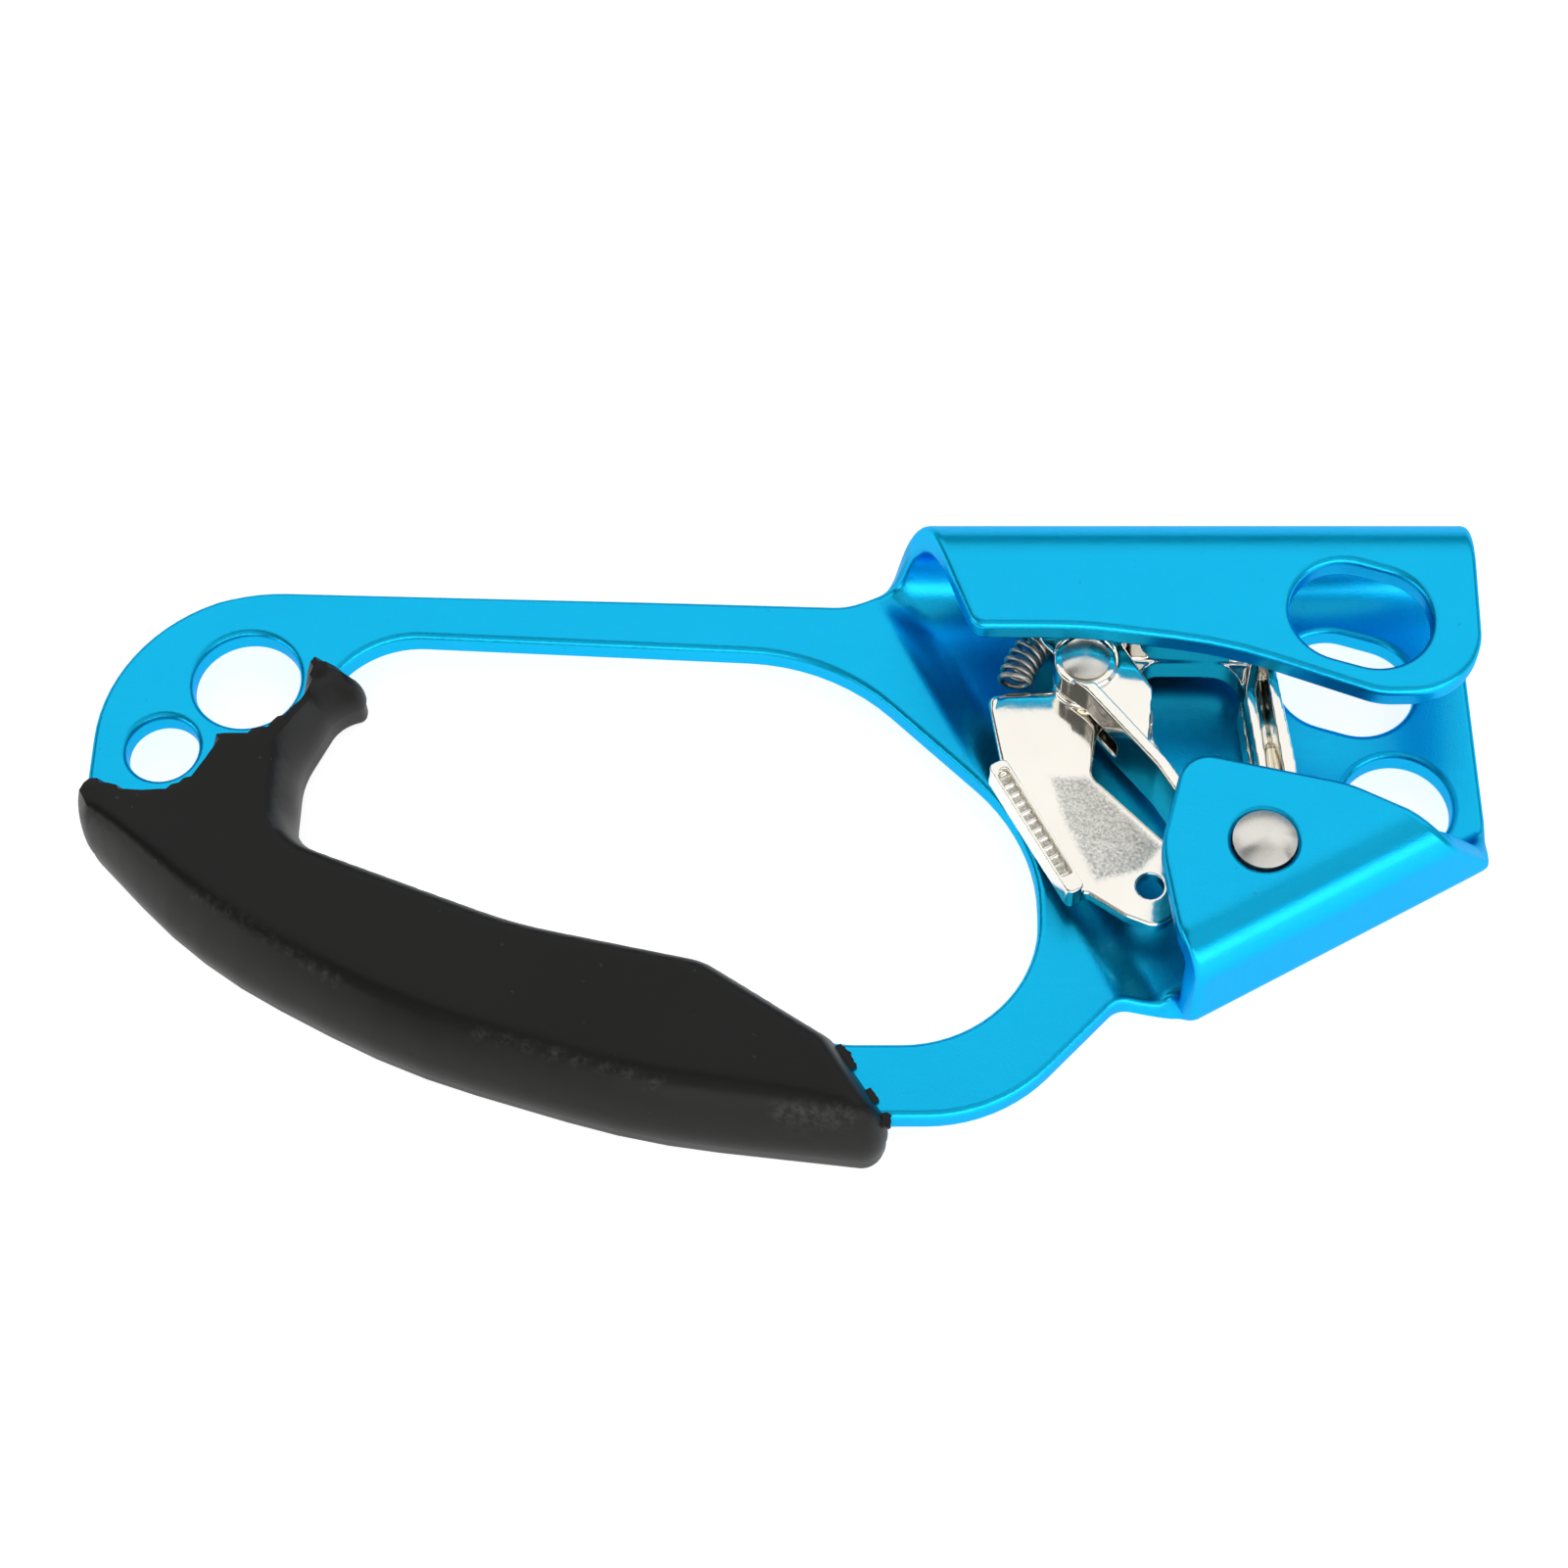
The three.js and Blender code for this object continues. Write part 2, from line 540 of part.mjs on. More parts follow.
// ---- trigger -------------------------------------------------------------------------------
function makeTrigger() {
  const outline = rounded([
    [-34.9, 28.9, 1.5],
    [-34.7, 27.2, 0],
    [-33.1, 17.8, 0.8],
    [-35, 16, 0.9],
    [-24.7, -3.2, 0.9],
    [-22.4, -1.6, 1],
    [-17.4, -5.1, 4],
    [-13.1, -6.9, 3],
    [-9.5, -4, 3.4], // tail
    [-9.5, 2.5, 2],
    [-11.6, 5.8, 2],
    [-21.1, 15.8, 2],
    [-20, 23.7, 3],
    [-17.8, 26.7, 2.6],
    [-17.8, 34.4, 3.7], // ear round the rivet
    [-25.6, 34.4, 3.7],
    [-25.9, 29.3, 0.6],
  ]);
  const rail = rounded([
    [-35, 16, 0.9],
    [-24.7, -3.2, 0.9],
    [-22.5, -2, 0.8],
    [-32.6, 17.3, 0.9],
  ]);
  const pocket = rounded([
    [-33.6, 15.2, 0.5],
    [-25.2, -0.4, 0.5],
    [-24.2, 0.2, 0.5],
    [-32.5, 15.8, 0.5],
  ]);
  const flange = rounded([
    [-34.3, 29, 0.6],
    [-34.2, 27.6, 0.6],
    [-26.6, 28, 0.6],
    [-26.6, 29.3, 0.6],
  ]);
  return plate(outline, TRIGGER_BOTTOM, TRIGGER_TOP)
    .add(plate(rail, TRIGGER_BOTTOM, RAIL_TOP))
    .add(plate(flange, TRIGGER_BOTTOM - 1.5, TRIGGER_TOP))
    .add(disc(BOSS_RADIUS, CLEVIS_LOW + GAP, CLEVIS_HIGH - GAP, PIVOT.x, PIVOT.y))
    .subtract(plate(pocket, RAIL_TOP - 1.1, RAIL_TOP + 1))
    .subtract(disc(CORD_HOLE.radius, 0, RAIL_TOP, CORD_HOLE.x, CORD_HOLE.y))
    .subtract(disc(PIN_RADIUS + GAP, 0, BOSS_TOP, PIVOT.x, PIVOT.y));
}

// ---- turned pieces and springs ---------------------------------------------------------------
function makeAxleRivet() {
  const head = FLAP_TOP + GAP;
  const back = BASE_BOTTOM - 0.35;
  return turned([
    [0, back - 1.1],
    [4.3, back - 1.1],
    [4.8, back - 0.6],
    [4.8, back],
    [SHAFT_RADIUS, back],
    [SHAFT_RADIUS, head],
    [4.45, head],
    ...dome(4.45, head + 0.25, 1.25),
  ]);
}

function makeTriggerRivet() {
  const head = BOSS_TOP + 0.25;
  return turned(
    [
      [0, CAM_BOTTOM + 0.1],
      [PIN_RADIUS, CAM_BOTTOM + 0.1],
      [PIN_RADIUS, head],
      [3.25, head],
      ...dome(3.25, head + 0.1, 0.85),
    ],
    PIVOT.x,
    PIVOT.y,
  );
}

// Torsion spring coiled round the sleeve: one leg bears on the fold's web, the other on the cam.
function makeTorsionSpring() {
  const turns = 3;
  const radius = 5.75;
  const wireRadius = 0.45;
  const low = HUB_TOP + GAP + wireRadius;
  const high = FLAP_UNDERSIDE - 1.7;
  const steps = turns * 14;
  const coil = Array.from({ length: steps + 1 }, (_, k) => {
    const angle = (2 * Math.PI * turns * k) / steps;
    const height = low + ((high - low) * k) / steps;
    return new THREE.Vector3(radius * Math.cos(angle), radius * Math.sin(angle), height);
  });
  const fixedLeg = [2.5, 5].map((reach) => new THREE.Vector3(radius, reach, high));
  const movingLeg = [5.5, 3].map((reach) => new THREE.Vector3(radius - 0.2, -reach * 0.6, low));
  return wire([...movingLeg.slice(1), ...coil, ...fixedLeg], wireRadius);
}

// Compression spring that pushes the trigger back; its axis bends towards the rivet.
function makeTriggerSpring() {
  const turns = 6;
  const radius = 2.05;
  const wireRadius = 0.4;
  const steps = turns * 12;
  const across = SPRING_TO.x - SPRING_FROM.x;
  const along = SPRING_TO.y - SPRING_FROM.y;
  return wire(
    Array.from({ length: steps + 1 }, (_, k) => {
      const share = k / steps;
      const lean = Math.atan2(across * SPRING_BEND * share ** (SPRING_BEND - 1), along);
      const angle = 2 * Math.PI * turns * share;
      return new THREE.Vector3(
        SPRING_FROM.x + across * share ** SPRING_BEND + radius * Math.cos(angle) * Math.cos(lean),
        SPRING_FROM.y + along * share - radius * Math.cos(angle) * Math.sin(lean),
        SPRING_FROM.z + radius * Math.sin(angle),
      );
    }),
    wireRadius,
  );
}

// ---- assembly --------------------------------------------------------------------------------
const finish = (color, roughness, metalness) => () => {
  return new THREE.MeshStandardMaterial({ color, roughness, metalness });
};
const anodised = finish(0x12a5dc, 0.3, 0.9);
const rubber = finish(0x262524, 0.75, 0);
const chrome = finish(0xd9d9d6, 0.12, 1);
const steel = finish(0xb9b4ab, 0.3, 1);
const springSteel = finish(0x77736c, 0.35, 1);

const pieces = [
  ["frame", makeFrame(), anodised],
  ["grip", makeGrip(), rubber],
  ["cam", makeCam(), chrome],
  ["trigger", makeTrigger(), chrome],
  ["cam_axle_rivet", makeAxleRivet(), steel],
  ["axle_sleeve", ring(SHAFT_RADIUS + GAP, SLEEVE_RADIUS, WASHER_TOP + GAP, UPPER_WASHER - GAP), steel],
  ["cam_lower_washer", ring(SHAFT_RADIUS + GAP, WASHER_RADIUS, BASE_TOP + GAP, WASHER_TOP), steel],
  ["cam_upper_washer", ring(SHAFT_RADIUS + GAP, WASHER_RADIUS, UPPER_WASHER, FLAP_UNDERSIDE - GAP), steel],
  ["cam_torsion_spring", makeTorsionSpring(), springSteel],
  ["trigger_rivet", makeTriggerRivet(), steel],
  ["trigger_spring", makeTriggerSpring(), springSteel],
];

const ascender = new THREE.Group();
for (const [name, shape, material] of pieces) {
  const mesh = new THREE.Mesh(surface(shape), material());
  mesh.name = name;
  ascender.add(mesh);
}

// origin at the middle of the footprint, on the floor
const box = new THREE.Box3().setFromObject(ascender);
ascender.position.set(-(box.min.x + box.max.x) / 2, -(box.min.y + box.max.y) / 2, -box.min.z);

export default ascender;
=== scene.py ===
"""Hand ascender lying on its back on a pale floor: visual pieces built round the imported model."""
import math

import bmesh
import bpy
import numpy as np
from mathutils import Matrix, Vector, geometry


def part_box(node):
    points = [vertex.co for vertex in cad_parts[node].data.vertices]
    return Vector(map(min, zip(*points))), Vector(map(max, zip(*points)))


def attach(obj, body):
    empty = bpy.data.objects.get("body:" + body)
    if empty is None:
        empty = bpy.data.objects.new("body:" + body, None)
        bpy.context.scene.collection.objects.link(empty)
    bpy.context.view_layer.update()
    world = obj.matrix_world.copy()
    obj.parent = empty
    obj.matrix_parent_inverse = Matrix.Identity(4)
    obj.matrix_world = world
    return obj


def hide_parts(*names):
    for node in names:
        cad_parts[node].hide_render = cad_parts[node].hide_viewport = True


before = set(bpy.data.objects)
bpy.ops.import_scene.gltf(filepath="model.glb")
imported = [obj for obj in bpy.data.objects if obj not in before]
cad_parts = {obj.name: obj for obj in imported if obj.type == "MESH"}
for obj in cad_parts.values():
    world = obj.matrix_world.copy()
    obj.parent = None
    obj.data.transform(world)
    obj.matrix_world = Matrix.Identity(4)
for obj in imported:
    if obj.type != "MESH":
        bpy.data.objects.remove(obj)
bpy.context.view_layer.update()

MM = 0.001
AXLE_LOW, AXLE_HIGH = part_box("cam_axle_rivet")
PIVOT_X = (AXLE_LOW.x + AXLE_HIGH.x) / 2
PIVOT_Y = (AXLE_LOW.y + AXLE_HIGH.y) / 2


def row(points):
    """Millimetres from the cam's axle to metres in the row frame."""
    points = np.asarray(points, float)
    return points * MM + np.array([PIVOT_X, PIVOT_Y, 0.0])


# ---- heights and folds, in millimetres ----------------------------------------------------
SHEET = 4.0  # thickness
BASE_MID = 3.5  # middle of the sheet in the head's base
JOGGLE = 2.0  # how much higher the handle lies
FLAP_TOP = 23.5  # outer face of the flap and of the cheek
CHANNEL_START = 42.1
CHANNEL_RADIUS = 9.0
CHANNEL_ARC = math.pi * CHANNEL_RADIUS
CHANNEL_RUN_OUT = 4.0  # how far the bend's start moves out where the channel ends
CHANNEL_END, CHANNEL_PAST_END = 45.0, 52.0  # towards the handle
FOLD_ANGLE = math.radians(29.1)
FOLD_START = 5.0
FOLD_RADIUS = 4.3
FOLD_ARC = math.pi / 2 * FOLD_RADIUS
FOLD_WEB = 18.0 - 2 * FOLD_RADIUS
FOLD_LENGTH = 2 * FOLD_ARC + FOLD_WEB
FOLD_END = -16.3
FOLD_RUN_OUT = 6.0
FOLD_MARGIN = 7.0  # nothing this far past the fold's end is bent
ALONG = np.array([math.cos(FOLD_ANGLE), math.sin(FOLD_ANGLE)])
OUT = np.array([math.sin(FOLD_ANGLE), -math.cos(FOLD_ANGLE)])
JOGGLE_FROM = np.array([-43.7, 47.0])
JOGGLE_TO = np.array([-12.3, -14.4])
JOGGLE_WIDTH = 6.5
JOGGLE_RUN = (JOGGLE_TO - JOGGLE_FROM) / np.linalg.norm(JOGGLE_TO - JOGGLE_FROM)
JOGGLE_ASIDE = np.array([JOGGLE_RUN[1], -JOGGLE_RUN[0]])


def smooth_step(x, low, high):
    """0 below low and 1 above high, with a smooth rise between them."""
    t = np.clip((np.asarray(x, float) - low) / (high - low), 0, 1)
    return t * t * (3 - 2 * t)


def folded(u, v, lift):
    """Where points of the flat blank go when the sheet is folded; lift is measured from mid-sheet."""
    u, v, lift = (np.asarray(a, float) for a in (u, v, lift))
    x, y = u.copy(), v.copy()
    z = BASE_MID + lift
    flat = np.ones_like(z)
    start = CHANNEL_START + CHANNEL_RUN_OUT * smooth_step(-u, CHANNEL_END, CHANNEL_PAST_END)
    into = v - start
    turn = np.clip(into / CHANNEL_RADIUS, 0, math.pi)
    radius = CHANNEL_RADIUS - lift
    bent = into > 0
    y = np.where(bent, start + radius * np.sin(turn) - np.maximum(0, into - CHANNEL_ARC), y)
    z = np.where(bent, BASE_MID + CHANNEL_RADIUS - radius * np.cos(turn), z)
    flat = np.where(bent, np.maximum(0, np.cos(turn)), flat)
    along = u * ALONG[0] + v * ALONG[1]
    out = u * OUT[0] + v * OUT[1]
    fold_start = FOLD_START + FOLD_RUN_OUT * smooth_step(-along, -FOLD_END, FOLD_RUN_OUT - FOLD_END)
    into = out - fold_start
    bent = (into > 0) & (along > FOLD_END - FOLD_MARGIN)
    first = np.clip(into / FOLD_RADIUS, 0, math.pi / 2)
    web = np.clip(into - FOLD_ARC, 0, FOLD_WEB)
    second = np.clip((into - FOLD_ARC - FOLD_WEB) / FOLD_RADIUS, 0, math.pi / 2)
    radius = FOLD_RADIUS - lift
    reach = fold_start + radius * np.sin(first + second) - np.maximum(0, into - FOLD_LENGTH) - out
    x = np.where(bent, x + OUT[0] * reach, x)
    y = np.where(bent, y + OUT[1] * reach, y)
    z = np.where(bent, BASE_MID + FOLD_RADIUS + web - radius * np.cos(first + second), z)
    flat = np.where(bent, np.maximum(0, np.cos(first)), flat)
    aside = (u - JOGGLE_FROM[0]) * JOGGLE_ASIDE[0] + (v - JOGGLE_FROM[1]) * JOGGLE_ASIDE[1]
    z = z + JOGGLE * flat * smooth_step(aside, 0, JOGGLE_WIDTH)
    return np.stack([x, y, z], -1)


# ---- outlines ---------------------------------------------------------------------------
ARC_STEP = math.radians(5)
HALF_TURN_STEPS = 28


def rounded(corners):
    """The polygon through [x, y, radius] corners, each rounded by its radius."""
    points = []
    for i, (x, y, radius) in enumerate(corners):
        here = np.array([x, y])
        back = np.array(corners[i - 1][:2]) - here
        ahead = np.array(corners[(i + 1) % len(corners)][:2]) - here
        back = back / np.linalg.norm(back)
        ahead = ahead / np.linalg.norm(ahead)
        half = math.acos(max(-1, min(1, float(back @ ahead)))) / 2
        middle = (back + ahead) / np.linalg.norm(back + ahead)
        centre = here + middle * radius / math.sin(half)
        start = here + back * radius / math.tan(half) - centre
        sweep = (math.pi - 2 * half) * math.copysign(1, ahead[0] * back[1] - ahead[1] * back[0])
        steps = max(3, math.ceil(abs(sweep) / ARC_STEP))
        for k in range(steps + 1):
            a = sweep * k / steps
            cos, sin = math.cos(a), math.sin(a)
            points.append(centre + (start[0] * cos - start[1] * sin, start[0] * sin + start[1] * cos))
    return np.array(points)


def circle(x, y, radius, sides=64):
    a = np.arange(sides) * 2 * math.pi / sides
    return np.stack([x + radius * np.cos(a), y + radius * np.sin(a)], -1)


def stadium(a, b, radius):
    """A slot with round ends centred on a and b."""
    a, b = np.array(a, float), np.array(b, float)
    first = math.atan2(*(b - a)[::-1])
    points = []
    for centre, start in ((b, first - math.pi / 2), (a, first + math.pi / 2)):
        for k in range(HALF_TURN_STEPS + 1):
            t = start + math.pi * k / HALF_TURN_STEPS
            points.append(centre + radius * np.array([math.cos(t), math.sin(t)]))
    return np.array(points)


def dense(points, longest):
    """The closed outline with no side longer than that."""
    result = []
    for a, b in zip(points, np.roll(points, -1, 0)):
        length = np.linalg.norm(b - a)
        if length < 1e-3:
            continue
        steps = max(1, math.ceil(length / longest))
        result += [a + (b - a) * k / steps for k in range(steps)]
    return np.array(result)


def outward(points):
    """Unit normals of a counter-clockwise outline, away from its inside."""
    along = np.roll(points, -1, 0) - np.roll(points, 1, 0)
    along /= np.maximum(np.linalg.norm(along, axis=1), 1e-9)[:, None]
    return np.stack([along[:, 1], -along[:, 0]], -1)


def inside(points, outline):
    """Which points lie within the closed outline."""
    x, y = points[:, 0][:, None], points[:, 1][:, None]
    ax, ay = outline[:, 0][None], outline[:, 1][None]
    b = np.roll(outline, -1, 0)
    bx, by = b[:, 0][None], b[:, 1][None]
    crosses = ((ay > y) != (by > y)) & (x < (bx - ax) * (y - ay) / np.where(by == ay, 1e-12, by - ay) + ax)
    return crosses.sum(1) % 2 == 1


def within(points, loops):
    """Which points lie inside the first loop and outside the others."""
    keep = inside(points, loops[0])
    for hole in loops[1:]:
        keep &= ~inside(points, hole)
    return keep


def distance(points, outline):
    """Distance of each point to the closed outline, and the outline index nearest to it."""
    a = outline[None]
    d = np.roll(outline, -1, 0)[None] - a
    p = points[:, None]
    t = np.clip(((p - a) * d).sum(-1) / np.maximum((d * d).sum(-1), 1e-12), 0, 1)
    gap = np.linalg.norm(p - a - d * t[..., None], axis=-1)
    return gap.min(1), gap.argmin(1)


def triangulate(loops, extra):
    """Triangles of the area inside the first loop and outside the others, through the extra points."""
    points = np.concatenate([*loops, extra])
    edges, first = [], 0
    for loop in loops:
        edges += [(first + k, first + (k + 1) % len(loop)) for k in range(len(loop))]
        first += len(loop)
    out = geometry.delaunay_2d_cdt([Vector(p) for p in points], edges, [], 0, 1e-6)
    given = [olds[0] if olds else None for olds in out[3]]
    faces = np.array([[given[i] for i in f] for f in out[2]])
    faces = faces[within(points[faces].mean(1), loops)]
    a, b, c = (points[faces[:, k]] for k in range(3))
    turn = (b - a)[:, 0] * (c - a)[:, 1] - (b - a)[:, 1] * (c - a)[:, 0]
    faces[turn < 0] = faces[turn < 0][:, ::-1]
    return points, faces[np.abs(turn) > 1e-9]


def new_object(name, vertices, faces, normals=None):
    """A smooth-shaded piece from points in millimetres from the cam's axle."""
    mesh = bpy.data.meshes.new(name)
    mesh.from_pydata([tuple(v) for v in row(vertices)], [], [tuple(int(i) for i in f) for f in faces])
    mesh.validate()
    mesh.update()
    mesh.shade_smooth()
    if normals is not None:
        mesh.normals_split_custom_set_from_vertices([tuple(n) for n in normals])
    piece = bpy.data.objects.new(name, mesh)
    bpy.context.scene.collection.objects.link(piece)
    return piece


# ---- the folded sheet frame ---------------------------------------------------------------
def unfold_channel(x, y, radius=0):
    """The blank's corner for a corner of the flap."""
    return [x, 2 * CHANNEL_START + CHANNEL_ARC - y, radius]


def unfold_cheek(x, y, radius=0):
    """The blank's corner for a corner of the cam's cheek."""
    out = 2 * FOLD_START + FOLD_LENGTH - (x * OUT[0] + y * OUT[1])
    return [*((x * ALONG[0] + y * ALONG[1]) * ALONG + out * OUT), radius]


def on_fold(along, out, radius):
    """A corner of the blank placed along and out from the fold's own directions."""
    return [*(along * ALONG + out * OUT), radius]


BLANK = [
    [-156.1, 48.8, 23.5],
    [-156.1, 13.5, 12],
    [-131, -10, 60],
    [-97, -26, 80],
    [-64, -31.4, 60],
    [-33.9, -31.4, 22],
    [-18.2, -14.9, 4],
    on_fold(FOLD_END, 8.2, 2),
    on_fold(FOLD_END, FOLD_START + FOLD_LENGTH - 0.6, 10),
    unfold_cheek(-13.3, -0.5, 12),
    unfold_cheek(-9.5, 13.6, 4.2),
    unfold_cheek(11.5, 8.7, 15),
    on_fold(32.4, 8, 3),
    unfold_channel(30.4, 22.2, 10.2),
    unfold_channel(16.5, 21.9, 10),
    unfold_channel(-3.2, 29.5, 60),
    unfold_channel(-22, 32.2, 60),
    unfold_channel(-36.8, 32.3, 2.4),
    [-44.8, 58, 15],
    [-49.2, 45.3, 9],
]
WINDOW = [
    [-123.6, 40.8, 13],
    [-126.3, 27, 12],
    [-129.4, 18.5, 14],
    [-129.3, 4.5, 9],
    [-107, -2.8, 50],
    [-72, -12.3, 30],
    [-56, -21, 14],
    [-28.4, -21, 18],
    [-28.4, 9.8, 26],
    [-56, 37.3, 30],
]
EYE = ((12.9, 34.8), (16.6, 33.6), 7.6)
EDGE = 1.05  # rounding of the sheet's edges
EDGE_STEPS = 4
OUTLINE_STEP = 1.3  # longest side of the blank's outline
AXLE_HOLE = 4.15
ROW_SPACING = 1.4  # between points of a row, for each unit between rows
CLOSE_TO_EDGE, FAR_FROM_EDGE, FAR_FROM_BENDS = 0.45, 1.5, 2.0


def staggered(low, high, near, far, gap):
    """Rows of points that far apart, every second row shifted by half the spacing along it."""
    us, vs = np.meshgrid(np.arange(low, high, ROW_SPACING * gap), np.arange(near, far, gap), indexing="ij")
    us[:, ::2] += ROW_SPACING / 2 * gap
    return np.stack([us.ravel(), vs.ravel()], -1)


def clear_of(points, loops, gap):
    """The points inside the sheet that are further than the gap from all of its loops."""
    points = points[within(points, loops)]
    for loop in loops:
        points = points[distance(points, loop)[0] > gap]
    return points


def sheet_grid(loops):
    """Points for the sheet's triangles: close rows across each bend, and wide ones elsewhere."""
    channel = staggered(-54, 34, CHANNEL_START - 1, CHANNEL_START + CHANNEL_ARC + 1.2, 1.0)
    channel = channel[channel @ OUT < FOLD_START - 2]
    fold = staggered(-24, 36, FOLD_START - 0.5, FOLD_START + FOLD_LENGTH + 1.2, 0.7)
    fold = fold[:, :1] * ALONG + fold[:, 1:] * OUT
    joggle = staggered(0, 72, -1.0, JOGGLE_WIDTH + 1.1, 0.7)
    joggle = JOGGLE_FROM + joggle[:, :1] * JOGGLE_RUN + joggle[:, 1:] * JOGGLE_ASIDE
    joggle = joggle[(joggle[:, 1] < CHANNEL_START - 1.5) & (joggle @ OUT < FOLD_START - 1)]
    bends = np.concatenate([clear_of(part, loops, CLOSE_TO_EDGE) for part in (channel, fold, joggle)])
    wide = clear_of(staggered(-155, 34, -31.0, 93.0, 4.5), loops, FAR_FROM_EDGE)
    for point_block in np.array_split(bends, math.ceil(len(bends) / 400)):
        gaps = np.linalg.norm(wide[:, None] - point_block[None], axis=-1).min(1)
        wide = wide[gaps > FAR_FROM_BENDS]
    return np.concatenate([bends, wide])


def edge_rows():
    """Round the sheet's edge: inset from the outline, lift, and angle of the normal from the face's."""
    half = SHEET / 2
    rows = []
    for k in range(1, EDGE_STEPS + 1):
        a = math.radians(90 / EDGE_STEPS * k)
        rows.append((EDGE * (1 - math.sin(a)), half - EDGE * (1 - math.cos(a)), a))
    return rows + [(inset, -lift, math.pi - a) for inset, lift, a in reversed(rows)]


def make_frame():
    """The blank's two faces and rounded edges, folded, with normals worked out from the folding."""
    blank = dense(rounded(BLANK), OUTLINE_STEP)
    flap_eye = [unfold_channel(*end)[:2] for end in (EYE[1], EYE[0])]
    holes = [
        dense(rounded(WINDOW), OUTLINE_STEP),
        circle(-136.1, 33.4, 7.3, 72),
        circle(-146.5, 22.7, 4.85, 56),
        circle(20.4, 15, 7.4, 72),
        dense(stadium(*EYE), 1.0),
        dense(stadium(*flap_eye, EYE[2]), 1.0),
        circle(0, 0, AXLE_HOLE, 40),
        circle(*unfold_cheek(0, 0)[:2], AXLE_HOLE, 40),
    ]
    loops = [blank, *holes]
    normals = [outward(blank)] + [-outward(hole) for hole in holes]
    inner = [loop - normal * EDGE for loop, normal in zip(loops, normals)]
    flat, faces = triangulate(inner, sheet_grid(inner))
    half = SHEET / 2
    rows = edge_rows()
    edge_points, edge_normals = np.concatenate(loops), np.concatenate(normals)
    edge_count = len(edge_points)
    face_ways = np.zeros_like(flat)
    face_ways[:edge_count] = edge_normals
    # the upper face, the rows round the edge, and the lower face
    uv, lifts, angles, ways = [flat], [np.full(len(flat), half)], [np.zeros(len(flat))], [face_ways]
    for inset, lift, a in rows:
        uv.append(edge_points - edge_normals * inset)
        lifts.append(np.full(edge_count, lift))
        angles.append(np.full(edge_count, a))
        ways.append(edge_normals)
    uv.append(flat)
    lifts.append(np.full(len(flat), -half))
    angles.append(np.full(len(flat), math.pi))
    ways.append(face_ways)
    uv, lifts, angles, ways = (np.concatenate(parts) for parts in (uv, lifts, angles, ways))
    bottom = len(flat) + edge_count * len(rows)
    starts = [0] + [len(flat) + edge_count * k for k in range(len(rows))] + [bottom]
    all_faces = [tuple(f) for f in faces] + [tuple(f[::-1] + bottom) for f in faces]
    first = 0
    for loop in loops:
        count = len(loop)
        for upper, lower in zip(starts, starts[1:]):
            for k in range(count):
                a, b = first + k, first + (k + 1) % count
                quad = (upper + a, lower + a, lower + b, upper + b)
                all_faces.append(quad if first == 0 else quad[::-1])
        first += count
    place = folded(uv[:, 0], uv[:, 1], lifts)
    step = 0.02  # for the slopes of the folded surface
    by_u = folded(uv[:, 0] + step, uv[:, 1], lifts) - folded(uv[:, 0] - step, uv[:, 1], lifts)
    by_v = folded(uv[:, 0], uv[:, 1] + step, lifts) - folded(uv[:, 0], uv[:, 1] - step, lifts)
    up = np.cross(by_u, by_v)
    up /= np.linalg.norm(up, axis=1)[:, None]
    aside = ways[:, :1] * by_u + ways[:, 1:] * by_v
    aside /= np.maximum(np.linalg.norm(aside, axis=1), 1e-9)[:, None]
    normal = up * np.cos(angles)[:, None] + aside * np.sin(angles)[:, None]
    return new_object("frame_shell", place, all_faces, normal)


# ---- the rubber grip -----------------------------------------------------------------------
GRIP = [
    [-156.7, 16.2, 2],
    [-156.7, 10.4, 8],
    [-139.5, -7.6, 80],
    [-112, -22.6, 110],
    [-80, -32.6, 110],
    [-49.6, -36.2, 3.2],
    [-47.7, -32, 3.2],
    [-55, -20.5, 4],
    [-71.5, -9.5, 9],
    [-96.4, -4, 60],
    [-127.9, 8.5, 7],
    [-127.8, 20.5, 12],
    [-123.6, 29.5, 5],
    [-119.9, 30.6, 1.6],
    [-120, 33.1, 1.6],
    [-127.3, 36.4, 2.2],
    [-129.8, 22.9, 8.6],
    [-138.9, 23.4, 1.6],
    [-142.3, 11.8, 7.4],
    [-152.8, 16.4, 3],
]
GRIP_TOP = 13.0
GRIP_CHORD = np.array([[-157.0, 14.0], [-47.7, -30.0]])  # from end to end of the handle
GRIP_INSETS = (0.0, 0.04, 0.14, 0.32, 0.6)  # rings of points round its upper edge
GRIP_UNDERCUT = [(0.0, -0.15), (0.22, -0.3), (0.25, -0.6)]  # inset and drop below the parting line
GRIP_FOOT = [(0.25, 1.0), (0.4, 0.45), (0.75, 0.12), (1.2, 0.0)]  # inset and height
FLASH_ROOT, FLASH_LOW, FLASH_TOP, FLASH_ROOT_TOP = -0.9, 7.55, 8.05, 8.4
FLASH = [(-25.0, -21.4, 0.65), (-29.4, -27.6, 0.3), (-33.2, -31.0, 0.6)]  # from y, to y, how far out
SCUFFS = [  # from, to and half width of the whitish rubbed marks on the grip
    ((-139, -1.6), (-118, -15), 0.3),
    ((-101, -21.6), (-76, -29.0), 0.3),
    ((-62, -32), (-53, -33), 0.8),
    ((-122.5, 28), (-124, 22), 0.8),
]


def grip_height(gap, width, parting):
    """Height of the grip's top that far in from its outline: half a sloping facet, half a bulge."""
    t = np.clip(gap / width, 0, 1.3)
    facet = np.minimum(t, 1) - np.maximum(0.3 - np.abs(t - 1), 0) ** 2 / 1.2
    bulge = (1 - (1 - np.minimum(t, 1)) ** 2.3) ** (1 / 2.3)
    return parting + (GRIP_TOP - parting) * (0.55 * facet + 0.45 * bulge)


